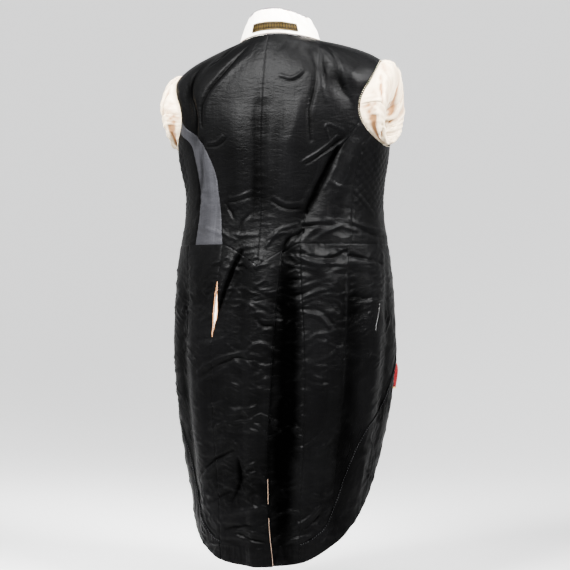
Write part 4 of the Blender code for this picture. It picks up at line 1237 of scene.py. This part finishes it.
class Look:
    """A material being put together from nodes."""

    def __init__(self, name: str) -> None:
        """Starts a material.

        Args:
            name: the material's name.
        """
        self.material = bpy.data.materials.new(name)
        self.material.use_nodes = True
        self.tree = self.material.node_tree
        self.shader = self.tree.nodes["Principled BSDF"]

    def add(self, kind: str, inputs: dict | None = None, **settings: object) -> bpy.types.Node:
        """Adds a node.

        Args:
            kind: the node's type, without ShaderNode.
            inputs: values or sockets for its inputs, by name or number.
            settings: its other properties.

        Returns:
            The node.
        """
        node = self.tree.nodes.new(f"ShaderNode{kind}")
        for name, value in settings.items():
            setattr(node, name, value)
        for name, value in (inputs or {}).items():
            if isinstance(value, Socket):
                self.tree.links.new(value, node.inputs[name])
            else:
                node.inputs[name].default_value = value
        return node

    def chart(self, across: float, along: float) -> Socket:
        """Returns: the cloth's own coordinates, with the number of cells to a metre each way."""
        place = self.add("TexCoord").outputs["UV"]
        return self.add("Mapping", {"Vector": place, "Scale": (across, along, 1.0)}).outputs["Vector"]

    def solid(self, scale: Triple) -> Socket:
        """Returns: the object's coordinates, with the number of cells to a metre each way."""
        place = self.add("TexCoord").outputs["Object"]
        return self.add("Mapping", {"Vector": place, "Scale": scale}).outputs["Vector"]

    def wave(self, place: Socket, scale: float, way: str) -> Socket:
        """Returns: bands that follow one another along X, Y or the diagonal."""
        return self.add("TexWave", {"Vector": place, "Scale": scale}, bands_direction=way).outputs["Fac"]

    def part(self, value: Socket, low: float, high: float) -> Socket:
        """Returns: how far a value has come from one number to another, from 0 to 1."""
        return self.add("MapRange", {"Value": value, "From Min": low, "From Max": high}).outputs["Result"]

    def greys(self, value: Socket, low: tuple[float, float], high: tuple[float, float]) -> Socket:
        """Returns: a grey read from a value between two pairs of place and brightness."""
        return self.ramp(value, [(low[0], (low[1],) * 3), (high[0], (high[1],) * 3)])

    def sum(self, first: Socket, share: float, second: Socket, rest: float) -> Socket:
        """Returns: two values added in shares."""
        return self.maths("ADD", self.maths("MULTIPLY", first, share), self.maths("MULTIPLY", second, rest))

    def noise(self, place: Socket, detail: float = 3.0, distortion: float = 0.0) -> Socket:
        """Returns: noise with cells of size 1."""
        inputs = {"Scale": 1.0, "Detail": detail, "Roughness": 0.55, "Distortion": distortion}
        return self.add("TexNoise", {"Vector": place, **inputs}).outputs["Fac"]

    def ramp(self, value: Socket, stops: list[tuple[float, Triple]]) -> Socket:
        """Returns: colours read from a value along a row of stops."""
        node = self.add("ValToRGB", {"Fac": value})
        elements = node.color_ramp.elements
        while len(elements) < len(stops):
            elements.new(0.5)
        for element, (place, colour) in zip(elements, stops):
            element.position = place
            element.color = (*colour, 1.0)
        return node.outputs["Color"]

    def blend(self, factor: object, first: object, second: object, kind: str = "MIX") -> Socket:
        """Returns: two colours mixed."""
        node = self.add("MixRGB", {"Fac": factor, "Color1": first, "Color2": second}, blend_type=kind)
        return node.outputs["Color"]

    def scaled(self, value: Socket, low: float, high: float) -> Socket:
        """Returns: a value from 0 to 1 brought between two numbers."""
        return self.add("MapRange", {"Value": value, "To Min": low, "To Max": high}).outputs["Result"]

    def maths(self, kind: str, first: object, second: object = 0.0) -> Socket:
        """Returns: two values put together by a Math node."""
        return self.add("Math", {0: first, 1: second}, operation=kind).outputs[0]

    def bump(self, height: Socket, depth: float, under: Socket | None = None) -> Socket:
        """Returns: a normal raised by a height, on top of another one."""
        inputs = {"Height": height, "Distance": depth, "Strength": 1.0}
        if under is not None:
            inputs["Normal"] = under
        return self.add("Bump", inputs).outputs["Normal"]

    def relief(self) -> Socket:
        """Returns: how far folds lift the cloth, 0.5 where it is flat."""
        return self.add("Attribute", attribute_name="relief").outputs["Fac"]

    def finish(self, colour: object, roughness: object, normal: object, **plain: float) -> Material:
        """Sets the shader.

        Args:
            colour: the base colour's socket.
            roughness: the roughness' socket or number.
            normal: the normal's socket.
            plain: numbers for other sockets, with _ for a space.

        Returns:
            The material.
        """
        for name, value in (("Base Color", colour), ("Roughness", roughness), ("Normal", normal)):
            if isinstance(value, Socket):
                self.tree.links.new(value, self.shader.inputs[name])
            else:
                self.shader.inputs[name].default_value = value
        for name, value in plain.items():
            self.shader.inputs[name.replace("_", " ")].default_value = value
        return self.material


@dataclass(frozen=True)
class Satin:
    """Silk satin: long fine warp threads, soft crumples and a cool sheen."""

    name: str
    dark: Triple = (0.0003, 0.0003, 0.0003)
    light: Triple = (0.0014, 0.0014, 0.0015)
    gloss: tuple[float, float] = (0.32, 0.46)
    crumple: float = 0.0010
    streak: float = 0.35
    shine: float = 0.024

    def make(self) -> Material:
        """Returns: the material."""
        look = Look(self.name)
        threads = look.noise(look.chart(2600.0, 70.0), 2.0)
        streaks = look.noise(look.chart(240.0, 5.0), 4.0, 0.2)
        clouds = look.noise(look.chart(13.0, 9.0), 4.0, 0.4)
        folded = look.noise(look.chart(24.0, 62.0), 5.0, 0.9)
        crease = look.maths("ABSOLUTE", look.maths("SUBTRACT", folded, 0.5))
        # Painted light and shade: the colour follows the folds' relief, lighter on raised cloth and darker in
        # hollows, mixed with random clouds
        tone_and_fold_shade = look.sum(clouds, 0.55, look.relief(), 0.45)
        colour = look.ramp(tone_and_fold_shade, [(0.30, self.dark), (0.70, self.light)])
        colour = look.blend(self.streak, colour, look.greys(streaks, (0.3, 0.35), (0.7, 1.0)), "MULTIPLY")
        rough = look.scaled(clouds, *self.gloss)
        # Painted shade: the cloth's colour and shine are darkened in the hollows of its folds, and the shine
        # also varies at random with the clouds
        fold_lit_share = look.part(look.relief(), 0.12, 0.48)
        uneven = look.maths("MULTIPLY", fold_lit_share, look.scaled(clouds, 0.6, 1.3))
        shine = look.scaled(uneven, self.shine * 0.1, self.shine)
        look.tree.links.new(shine, look.shader.inputs["Specular IOR Level"])
        colour = look.blend(1.0, colour, look.greys(fold_lit_share, (0.0, 0.35), (1.0, 1.0)), "MULTIPLY")
        fine = look.noise(look.chart(120.0, 210.0), 5.0, 0.5)
        normal = look.bump(fine, 0.00045, look.bump(crease, self.crumple))
        normal = look.bump(streaks, 0.00022, normal)
        normal = look.bump(threads, 0.00004, normal)
        return look.finish(colour, rough, normal, Anisotropic=0.35)


@dataclass(frozen=True)
class Sateen:
    """Cream cotton lining, brown with random stains and with painted shade in the hollows of its folds."""

    name: str
    pale: Triple = (0.62, 0.49, 0.32)
    # The brown of the random stains and of the painted shade in hollows
    stained_and_shaded: Triple = (0.22, 0.10, 0.03)
    weave: float = 900.0

    def make(self) -> Material:
        """Returns: the material."""
        look = Look(self.name)
        clouds = look.noise(look.chart(18.0, 18.0), 5.0, 0.5)
        stains = look.maths("MULTIPLY", look.maths("SUBTRACT", clouds, 0.5), 0.35)
        depth = look.maths("ADD", look.relief(), stains)
        middle = tuple(0.55 * p + 0.45 * a for p, a in zip(self.pale, self.stained_and_shaded))
        # Painted shade: brown where the folds' relief is low, mixed with random stains
        colour = look.ramp(depth, [(0.18, self.stained_and_shaded), (0.36, middle), (0.50, self.pale)])
        warp, weft = (look.wave(look.chart(self.weave, self.weave), 0.5, way) for way in "XY")
        weave = look.maths("MULTIPLY", warp, weft)
        soft = look.noise(look.chart(95.0, 60.0), 5.0, 0.5)
        normal = look.bump(weave, 0.00006, look.bump(soft, 0.0007))
        rough = look.scaled(clouds, 0.55, 0.75)
        return look.finish(
            colour, rough, normal, Sheen_Weight=0.15, Sheen_Roughness=0.5, Specular_IOR_Level=0.3
        )


@dataclass(frozen=True)
class Twill:
    """A twill weave: fine diagonal ribs, for the collar's lining and the red cuff, darkened in the hollows of
    its folds as painted shade.
    """

    name: str
    pale: Triple = (0.86, 0.81, 0.73)
    # The darker colour, for random wear and for painted shade in the hollows of folds
    worn: Triple = (0.62, 0.47, 0.31)
    ribs: float = 1100.0
    nap: float = 0.15

    def make(self) -> Material:
        """Returns: the material."""
        look = Look(self.name)
        ribs = look.wave(look.chart(self.ribs, self.ribs), 0.35, "DIAGONAL")
        clouds = look.noise(look.chart(30.0, 22.0), 5.0, 0.3)
        fluff = look.noise(look.chart(700.0, 700.0), 3.0)
        tone_and_fold_shade = look.sum(clouds, 0.6, look.relief(), 0.4)
        # Painted shade: darker where the folds' relief is low, mixed with random clouds
        colour = look.ramp(tone_and_fold_shade, [(0.28, self.worn), (0.50, self.pale)])
        normal = look.bump(ribs, 0.00007, look.bump(fluff, 0.00012))
        rough = look.scaled(clouds, 0.68, 0.86)
        return look.finish(
            colour, rough, normal, Sheen_Weight=self.nap, Sheen_Roughness=0.6, Specular_IOR_Level=0.12
        )


@dataclass(frozen=True)
class Ribbon:
    """Woven label tape: near-black, with two gold stripes and a row of lozenges."""

    name: str
    ground: Triple = (0.0012, 0.0010, 0.0008)
    gold: Triple = (0.030, 0.019, 0.004)

    def make(self) -> Material:
        """Returns: the material."""
        look = Look(self.name)
        place = look.add("SeparateXYZ", {"Vector": look.chart(1.0, 1.0)}).outputs["Y"]
        across = look.part(place, 0.0077, 0.0259)
        ground, gold = self.ground, self.gold
        stripes = look.ramp(across, [
            (0.0, ground), (0.06, ground), (0.09, gold), (0.13, gold), (0.17, ground),
            (0.83, ground), (0.87, gold), (0.91, gold), (0.94, ground),
        ])
        lozenge = look.wave(look.chart(1.0, 0.0), 62.0, "X")
        middle = look.maths("ABSOLUTE", look.maths("SUBTRACT", across, 0.5))
        inside = look.maths("GREATER_THAN", look.maths("MULTIPLY", lozenge, 0.30), middle)
        stripes = look.blend(inside, stripes, (*gold, 1.0))
        threads = look.noise(look.chart(1500.0, 260.0), 3.0)
        worn = look.noise(look.chart(160.0, 160.0), 4.0, 0.4)
        colour = look.blend(look.scaled(worn, -0.2, 0.75), stripes, (*ground, 1.0))
        rough = look.scaled(threads, 0.42, 0.68)
        return look.finish(colour, rough, look.bump(threads, 0.00012), Specular_IOR_Level=0.02)


@dataclass(frozen=True)
class Thread:
    """Sewing thread or cord, with its twist."""

    name: str
    colour: Triple
    shine: float = 0.5
    metal: float = 0.0

    def make(self) -> Material:
        """Returns: the material."""
        look = Look(self.name)
        twist = look.noise(look.solid((1800.0, 1800.0, 900.0)), 2.0)
        dark = tuple(0.55 * part for part in self.colour)
        colour = look.ramp(twist, [(0.3, dark), (0.65, self.colour)])
        rough = look.scaled(twist, self.shine - 0.1, self.shine + 0.15)
        return look.finish(colour, rough, look.bump(twist, 0.0002), Metallic=self.metal)


@dataclass(frozen=True)
class Gilt:
    """Gilt brass with a soft tarnish."""

    name: str = "gilt_brass"

    def make(self) -> Material:
        """Returns: the material."""
        look = Look(self.name)
        tarnish = look.noise(look.solid((160.0,) * 3), 6.0)
        fine = look.noise(look.solid((1500.0,) * 3), 3.0)
        colour = look.ramp(tarnish, [(0.35, (0.42, 0.26, 0.09)), (0.55, (0.83, 0.62, 0.26))])
        return look.finish(colour, look.scaled(tarnish, 0.42, 0.22), look.bump(fine, 0.00005), Metallic=1.0)


class Sewing:
    """Node trees that lay a cord or a row of stitches along a line."""

    def __init__(self) -> None:
        """Builds both trees."""
        self.cord_tree = self.start("Cord along a line", ["Radius"])
        self.stitch_tree = self.start("Stitches along a line", ["Pitch", "Length", "Thickness", "Slant"])
        self.fill_cord()
        self.fill_stitches()

    def start(self, name: str, sizes: list[str]) -> bpy.types.NodeTree:
        """Starts a tree with named inputs.

        Args:
            name: the tree's name.
            sizes: its number inputs.

        Returns:
            The tree.
        """
        tree = bpy.data.node_groups.new(name, "GeometryNodeTree")
        tree.interface.new_socket("Line", in_out="INPUT", socket_type="NodeSocketGeometry")
        for size in sizes:
            tree.interface.new_socket(size, in_out="INPUT", socket_type="NodeSocketFloat")
        tree.interface.new_socket("Material", in_out="INPUT", socket_type="NodeSocketMaterial")
        tree.interface.new_socket("Piece", in_out="OUTPUT", socket_type="NodeSocketGeometry")
        tree.nodes.new("NodeGroupInput")
        tree.nodes.new("NodeGroupOutput")
        return tree

    def node(self, tree: bpy.types.NodeTree, kind: str, inputs: dict, **settings: object) -> bpy.types.Node:
        """Adds a geometry node.

        Args:
            tree: the tree.
            kind: the node's full type.
            inputs: values or sockets for its inputs.
            settings: its other properties.

        Returns:
            The node.
        """
        node = tree.nodes.new(kind)
        for name, value in settings.items():
            setattr(node, name, value)
        for name, value in inputs.items():
            if isinstance(value, Socket):
                tree.links.new(value, node.inputs[name])
            else:
                node.inputs[name].default_value = value
        return node

    def end(self, tree: bpy.types.NodeTree, geometry: Socket) -> None:
        """Ends a tree with Realize Instances and Set Material.

        Args:
            tree: the tree.
            geometry: what it has made.
        """
        given = tree.nodes["Group Input"].outputs
        real = self.node(tree, "GeometryNodeRealizeInstances", {"Geometry": geometry}).outputs[0]
        done = self.node(tree, "GeometryNodeSetMaterial", {"Geometry": real, "Material": given["Material"]})
        tree.links.new(done.outputs[0], tree.nodes["Group Output"].inputs["Piece"])

    def fill_cord(self) -> None:
        """A round cord: the line becomes a curve with a circle swept along it."""
        tree = self.cord_tree
        given = tree.nodes["Group Input"].outputs
        line = self.node(tree, "GeometryNodeMeshToCurve", {"Mesh": given["Line"]}).outputs[0]
        round_it = {"Resolution": 8, "Radius": given["Radius"]}
        circle = self.node(tree, "GeometryNodeCurvePrimitiveCircle", round_it).outputs[0]
        sweep = {"Curve": line, "Profile Curve": circle, "Fill Caps": True}
        swept = self.node(tree, "GeometryNodeCurveToMesh", sweep)
        self.end(tree, swept.outputs[0])

    def fill_stitches(self) -> None:
        """Stitches: small long beads set a pitch apart, each a little uneven."""
        tree = self.stitch_tree
        given = tree.nodes["Group Input"].outputs
        line = self.node(tree, "GeometryNodeMeshToCurve", {"Mesh": given["Line"]}).outputs[0]
        points = self.node(
            tree, "GeometryNodeCurveToPoints", {"Curve": line, "Length": given["Pitch"]}, mode="LENGTH"
        )
        size = self.node(tree, "ShaderNodeCombineXYZ", {
            "X": given["Thickness"], "Y": given["Thickness"], "Z": given["Length"],
        })
        bead = self.node(tree, "GeometryNodeMeshUVSphere", {"Segments": 6, "Rings": 4, "Radius": 0.5})
        shape = {"Geometry": bead.outputs["Mesh"], "Scale": size.outputs[0]}
        long_bead = self.node(tree, "GeometryNodeTransform", shape)
        uneven = self.node(tree, "FunctionNodeRandomValue", {"Seed": 7}, data_type="FLOAT_VECTOR")
        uneven.inputs["Min"].default_value = (0.85, 0.85, 0.75)
        uneven.inputs["Max"].default_value = (1.1, 1.1, 1.15)
        placed = self.node(tree, "GeometryNodeInstanceOnPoints", {
            "Points": points.outputs["Points"], "Instance": long_bead.outputs[0],
            "Rotation": points.outputs["Rotation"], "Scale": uneven.outputs[0],
        })
        lean = self.node(tree, "ShaderNodeCombineXYZ", {"X": given["Slant"], "Y": given["Slant"]})
        turned = self.node(tree, "GeometryNodeRotateInstances", {
            "Instances": placed.outputs[0], "Rotation": lean.outputs[0],
        })
        self.end(tree, turned.outputs[0])

    def lay(
        self, name: str, tree: bpy.types.NodeTree, points: Array, sizes: dict[str, float], material: Material
    ) -> Piece:
        """Lays a cord or stitches along points.

        Args:
            name: the piece's name.
            tree: the tree to run.
            points: the line's points.
            sizes: the tree's inputs by name.
            material: the finish.

        Returns:
            The piece as a plain mesh.
        """
        edges = [(i, i + 1) for i in range(len(points) - 1)]
        mesh = bpy.data.meshes.new(name)
        mesh.from_pydata(points.tolist(), edges, [])
        line = bpy.data.objects.new(f"{name}_line", mesh)
        bpy.context.collection.objects.link(line)
        modifier = line.modifiers.new("sewing", "NODES")
        modifier.node_group = tree
        for item in tree.interface.items_tree:
            if item.in_out == "INPUT" and item.name in sizes:
                modifier[item.identifier] = sizes[item.name]
            elif item.in_out == "INPUT" and item.name == "Material":
                modifier[item.identifier] = material
        made = line.evaluated_get(bpy.context.evaluated_depsgraph_get())
        result = bpy.data.meshes.new_from_object(made)
        bpy.data.objects.remove(line)
        result.name = name
        result.materials.clear()
        result.materials.append(material)
        result.shade_smooth()
        piece = bpy.data.objects.new(name, result)
        bpy.context.collection.objects.link(piece)
        return piece

    def cord(self, name: str, points: Array, radius: float, material: Material) -> Piece:
        """Returns: a cord of a radius along points."""
        return self.lay(name, self.cord_tree, points, {"Radius": radius}, material)

    def stitches(
        self, name: str, points: Array, pitch: float, length: float, material: Material, slant: float = 0.0,
        thickness: float = 0.0006,
    ) -> Piece:
        """Returns: a row of stitches along points."""
        sizes = {"Pitch": pitch, "Length": length, "Thickness": thickness, "Slant": slant}
        return self.lay(name, self.stitch_tree, points, sizes, material)


@dataclass(frozen=True)
class Finishes:
    """Every finish of the coat, made once."""

    satin: Material
    # The lighter satin of the left side body, painted sheen
    side_satin: Material
    sateen: Material
    ivory: Material
    ribbon: Material
    red_wool: Material
    gilt: Material
    black_thread: Material
    cream_thread: Material
    gold_thread: Material
    edge_purple: Material
    edge_brown: Material
    edge_cream: Material
    shaded_edge_orange: Material
    edge_grey: Material

    @classmethod
    def make(cls) -> "Finishes":
        """Returns: the finishes."""
        return cls(
            Satin("black_satin").make(),
            # A lighter copy of the satin for the left side body: painted sheen where its grain catches the
            # light
            Satin(
                "sheen_lit_grey_satin", (0.0075, 0.0075, 0.0084), (0.023, 0.023, 0.026),
                gloss=(0.38, 0.55), crumple=0.0008, streak=0.55, shine=0.05,
            ).make(),
            Sateen("cream_sateen").make(),
            Twill("ivory_twill").make(),
            Ribbon("label_tape").make(),
            Twill("red_wool", (0.12, 0.003, 0.005), (0.07, 0.002, 0.003), ribs=900.0, nap=0.02).make(),
            Gilt().make(),
            Thread("black_silk_thread", (0.03, 0.03, 0.034), 0.40).make(),
            Thread("cream_thread", (0.80, 0.70, 0.52), 0.55).make(),
            Thread("gold_thread", (0.75, 0.52, 0.20), 0.38, 0.6).make(),
            Thread("purple_edge", (0.035, 0.016, 0.035), 0.6).make(),
            Thread("brown_edge", (0.045, 0.026, 0.014), 0.55).make(),
            Thread("cream_pink_edge", (0.20, 0.13, 0.09), 0.5).make(),
            # Painted shade: the orange-brown of the pocket slit's edge cords stands for the shaded rim of its
            # gaping mouth
            Thread("shaded_orange_brown_edge", (0.30, 0.13, 0.045), 0.5).make(),
            Thread("grey_edge", (0.05, 0.05, 0.05), 0.5).make(),
        )


@dataclass
class Tailcoat:
    """The whole coat: its panels, trims and stitches, in the order that they are sewn."""

    finishes: Finishes
    sewing: Sewing

    def panel(
        self, cloth: Cloth, node: str | None, material: Material, slot: str, held: str, rests_on: str
    ) -> Piece:
        """Builds a piece of cloth and tells the frame about it.

        Args:
            cloth: the cloth.
            node: the solid that it replaces.
            material: its finish.
            slot: the material slot; not used.
            held: how it is held; not used.
            rests_on: what it hangs from or lies on; not used.

        Returns:
            The piece.
        """
        piece = cloth.build()
        piece.data.materials.append(material)
        self.register(piece, node)
        area, faces = cloth.area(), len(piece.data.polygons)
        return piece

    def register(self, piece: Piece, node: str | None = None) -> None:
        """Tells the frame where a piece belongs.

        Args:
            piece: the piece.
            node: the solid that it replaces, if any.
        """
        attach(piece, BODY)
        if node:
            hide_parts(node)

    def trim(self, piece: Piece) -> None:
        """Registers a trim and reports it."""
        self.register(piece)
        LOG.info("%s: %d faces", piece.name, len(piece.data.polygons))

    def body(self, side: Side) -> None:
        """Makes the back, the side body and the front of one half."""
        satin, word = self.finishes.satin, side.word
        body = Body(side)
        # Only the left side body takes the lighter satin, as painted sheen; the right one stays black
        pale = self.finishes.side_satin if side is Side.LEFT else satin
        slot = "side_satin" if side is Side.LEFT else "lining_satin"
        self.panel(body.back(), f"back_{word}", satin, "lining_satin", "hung", "collar")
        self.panel(body.side_body(), f"side_body_{word}", pale, slot, "hung", f"back_{word}")
        self.panel(body.front(), f"front_{word}", satin, "lining_satin", "hung", "collar")

    def skirts(self, side: Side) -> None:
        """Makes the tail, the skirt and its facing of one half."""
        satin, word = self.finishes.satin, side.word
        skirts = Skirts(side)
        self.panel(skirts.tail(), f"tail_{word}", satin, "lining_satin", "hung", f"back_{word}")
        panel, rest = skirts.panels()
        self.panel(panel, f"skirt_panel_{word}", satin, "lining_satin", "hung", f"side_body_{word}")
        self.panel(rest, f"skirt_front_{word}", satin, "lining_satin", "hung", f"front_{word}")
        self.panel(skirts.facing(), f"facing_{word}", satin, "lining_satin", "laid", f"skirt_front_{word}")
        if side is Side.LEFT:
            ivory = self.finishes.ivory
            self.panel(skirts.pocket_bag(), "pocket_bag", ivory, "collar_lining", "hung", "tail_left")

    def sleeve(self, side: Side) -> None:
        """Makes the sleeve and the cuff of one half."""
        word, sateen, red = side.word, self.finishes.sateen, self.finishes.red_wool
        sleeve = Sleeve(side)
        top, under = sleeve.cloths()
        self.panel(top, f"top_sleeve_{word}", sateen, "sleeve_lining", "gathered", f"back_{word}")
        self.panel(under, f"under_sleeve_{word}", sateen, "sleeve_lining", "gathered", f"front_{word}")
        self.panel(sleeve.cuff(), f"cuff_{word}", red, "cuff_cloth", "folded", f"top_sleeve_{word}")

    def collar(self) -> None:
        """Makes the collar's lining, its bindings and the label."""
        collar, finishes = Collar(), self.finishes
        self.panel(collar.cloth(), "collar", finishes.ivory, "collar_lining", "folded", "back_left")
        self.panel(collar.label(), "neck_label", finishes.ribbon, "label_weave", "laid", "collar")
        turns = np.linspace(-collar.front_turn, collar.front_turn, 160)
        top = collar.point(turns, np.full(turns.shape, 1.0)) + np.array([0, 0, 0.0004])
        self.trim(self.sewing.cord("collar_top_edge", top, 0.0011, finishes.edge_purple))
        seam = collar.point(turns, np.zeros(turns.shape))
        seam = seam + collar.normal(turns, np.full(turns.shape, 0.05)) * (WALL / 2 + 0.0003)
        self.trim(self.sewing.cord("neck_seam_cord", seam, 0.0011, finishes.edge_brown))
        felled = collar.point(turns, np.full(turns.shape, 0.045))
        felled = felled + collar.normal(turns, np.full(turns.shape, 0.045)) * (WALL / 2 + 0.0002)
        stitches = self.sewing.stitches("collar_felling", felled, 0.0040, 0.0024, finishes.cream_thread, 0.6)
        self.trim(stitches)
        out = WALL / 2 + SEAM_GAP + collar.label_wall + 0.0002
        (left, right), (low, high) = collar.label_turns, collar.label_span
        across, rise = np.linspace(left + 1.0, right - 1.0, 40), np.linspace(low + 0.03, high - 0.03, 8)
        turn = np.concatenate([across, np.full(8, right - 1.0), across[::-1], np.full(8, left + 1.0)])
        share = np.concatenate([np.full(40, low + 0.03), rise, np.full(40, high - 0.03), rise[::-1]])
        line = collar.point(turn, share) + collar.normal(turn, share) * out
        gold = finishes.gold_thread
        stitches = self.sewing.stitches("label_stitches", line, 0.0030, 0.0018, gold, 0.2, 0.0004)
        self.trim(stitches)

    def on_form(self, side: Side, turn: Array, drop: Array, out: float) -> Array:
        """Returns: points on one side of the folded form."""
        return FORM.point(turn * side.value, drop, np.full(turn.shape, out))

    def edge_work(self, side: Side) -> None:
        """Sews the cords and stitches of one half."""
        finishes, word, sewing = self.finishes, side.word, self.sewing
        above = WALL / 2 + 0.0003
        angle = np.linspace(0, 360, 150)
        keys = FORM.armhole(angle)
        felled = self.on_form(side, keys[:, 0], keys[:, 1], above)
        cream, black = finishes.cream_thread, finishes.black_thread
        stitches = sewing.stitches(f"armhole_felling_{word}", felled, 0.0042, 0.0026, cream, 0.8)
        self.trim(stitches)
        turn = np.linspace(28.5, 146.0, 420)
        drop = FORM.hang(turn, np.full(turn.shape, 1.0)) + 0.0008
        line = self.on_form(side, turn, drop, WALL / 2 + SEAM_GAP + 0.0016)
        stitches = sewing.stitches(f"facing_felling_{word}", line, 0.0048, 0.0026, black, 0.7)
        self.trim(stitches)
        ring = np.linspace(0, 360, 90)
        sleeve = Sleeve(side)
        last = sleeve.flat_ring(sleeve.cuff_rows[-1], ring)
        braid = sewing.cord(f"cuff_braid_{word}", last, 0.0021, finishes.gold_thread)
        self.trim(braid)

    def openings(self) -> None:
        """Edges the vent, the pocket slit and the sword slit."""
        finishes, sewing = self.finishes, self.sewing
        skirts = Skirts(Side.LEFT)
        cords = (("vent_edge_cord_upper", 0.838, 0.885), ("vent_edge_cord_lower", 0.911, 1.001))
        for name, first, last in cords:
            drop = np.linspace(first, last, 40)
            edge = -Curve(FORM.vent_edge).at(drop) - 0.25
            line = self.on_form(Side.LEFT, edge, drop, skirts.lift + WALL / 2 - 0.0003)
            self.trim(sewing.cord(name, line, 0.0005, finishes.edge_cream))
        drop = np.linspace(skirts.pocket_top + 0.001, skirts.pocket_bottom - 0.001, 40)
        # The slit's edge cords are orange-brown as painted shade on the rim of the gaping mouth
        for name, way in (("pocket_edge_tail", -1), ("pocket_edge_skirt", 1)):
            line = self.on_form(Side.LEFT, skirts.pleat(drop, way), drop, WALL / 2 - 0.0008)
            self.trim(sewing.cord(name, line, 0.0009, finishes.shaded_edge_orange))
        drop = np.linspace(0.512, 0.562, 30)
        line = self.on_form(Side.RIGHT, np.linspace(73.5, 68.0, 30), drop, WALL / 2 + 0.0001)
        self.trim(sewing.cord("sword_slit_edge", line, 0.0004, finishes.edge_grey))

    def buttons(self) -> None:
        """Gives the front buttons their gilt finish."""
        for number in range(1, 9):
            button = bpy.data.objects[f"button_{number}"]
            button.data.materials.clear()
            button.data.materials.append(self.finishes.gilt)

    def build(self) -> None:
        """Makes the whole coat."""
        for side in Side:
            self.body(side)
            self.skirts(side)
            self.sleeve(side)
            self.edge_work(side)
        self.collar()
        self.openings()
        self.buttons()


@dataclass(frozen=True)
class Studio:
    """A pale floor, soft light and the camera at the photograph's angle."""

    target: Triple = (0.0, 0.0, -0.477)
    distance: float = 3.6
    azimuth: float = 199.0
    lens: float = 116.6
    floor: float = -1.075

    @property
    def toward(self) -> Vector:
        """Returns: the level direction towards the camera."""
        angle = math.radians(self.azimuth)
        return Vector((math.sin(angle), -math.cos(angle), 0.0))

    def camera(self) -> None:
        """Places the camera."""
        toward = self.toward
        data = bpy.data.cameras.new("camera")
        data.lens, data.sensor_width = self.lens, 36.0
        camera = bpy.data.objects.new("camera", data)
        camera.location = Vector(self.target) + toward * self.distance
        camera.rotation_euler = toward.to_track_quat("Z", "Y").to_euler()
        bpy.context.collection.objects.link(camera)
        bpy.context.scene.camera = camera

    def surround(self) -> None:
        """Makes the floor, which curves up into a wall all round."""
        flat, arc, top, sides = 2.5, 5.0, 8.0, 64
        bends = np.linspace(0.1, math.pi / 2, 14)
        profile = [(1.0, 0.0), (flat, 0.0)]
        profile += [(flat + arc * math.sin(bend), arc - arc * math.cos(bend)) for bend in bends]
        profile += [(flat + arc, top)]
        ways = [(math.cos(math.tau * i / sides), math.sin(math.tau * i / sides)) for i in range(sides)]
        points = [(r * x, r * y, self.floor + z) for r, z in profile for x, y in ways]
        faces = [(len(points), i, (i + 1) % sides) for i in range(sides)]
        for row in range(0, (len(profile) - 1) * sides, sides):
            for i in range(sides):
                after = (i + 1) % sides
                faces.append((row + i, row + sides + i, row + sides + after, row + after))
        mesh = bpy.data.meshes.new("floor")
        mesh.from_pydata(points + [(0.0, 0.0, self.floor)], [], faces)
        mesh.shade_smooth()
        look = Look("pale_paper")
        place = look.add("TexCoord").outputs["Object"]
        ahead = look.add("VectorMath", {0: place, 1: self.toward}, operation="DOT_PRODUCT")
        # Dark on the camera's side, so that black satin doesn't mirror a white wall
        near = look.part(ahead.outputs["Value"], 0.8, 4.5)
        colour = look.greys(near, (0.0, 0.55), (1.0, 0.14))
        look.finish(colour, 0.9, look.bump(look.noise(place), 0.0001), Emission_Strength=1.1)
        look.tree.links.new(look.greys(near, (0.0, 1.0), (1.0, 0.16)), look.shader.inputs["Emission Color"])
        mesh.materials.append(look.material)
        floor = bpy.data.objects.new("floor", mesh)
        bpy.context.collection.objects.link(floor)

    def light(
        self, name: str, place: Triple, size: float, power: float, aim: float = 0.0,
        beam: float = 180.0,
    ) -> None:
        """Adds a soft box aimed at the coat.

        Args:
            name: the light's name.
            place: how far it stands towards the camera, to the camera's right and up from the target.
            size: its width.
            power: its power in watts.
            aim: how far above the target it is aimed.
            beam: the angle over which it spreads, in degrees.
        """
        right = Vector((-self.toward.y, self.toward.x, 0.0))
        data = bpy.data.lights.new(name, "AREA")
        data.size, data.energy, data.spread = size, power, math.radians(beam)
        light = bpy.data.objects.new(name, data)
        offset = self.toward * place[0] + right * place[1] + Vector((0.0, 0.0, place[2]))
        light.location = Vector(self.target) + offset
        light.rotation_euler = (offset - Vector((0.0, 0.0, aim))).to_track_quat("Z", "Y").to_euler()
        bpy.context.collection.objects.link(light)

    def build(self) -> None:
        """Sets up the studio."""
        self.camera()
        self.surround()
        self.light("key", (1.9, -1.5, 1.9), 1.1, 100.0, 0.20, 60.0)
        self.light("fill", (1.7, 1.5, 1.7), 1.0, 46.0, 0.42, 34.0)
        self.light("top", (0.6, 0.1, 2.0), 0.9, 26.0, 0.30, 80.0)
        world = bpy.data.worlds.new("world")
        world.use_nodes = True
        world.node_tree.nodes["Background"].inputs["Color"].default_value = (0.9, 0.93, 1.0, 1.0)
        world.node_tree.nodes["Background"].inputs["Strength"].default_value = 0.25
        bpy.context.scene.world = world


def main() -> None:
    """Builds the studio and dresses the coat."""
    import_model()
    Studio().build()
    Tailcoat(Finishes.make(), Sewing()).build()
    LOG.info("coat dressed")


if __name__ == "__main__":
    main()
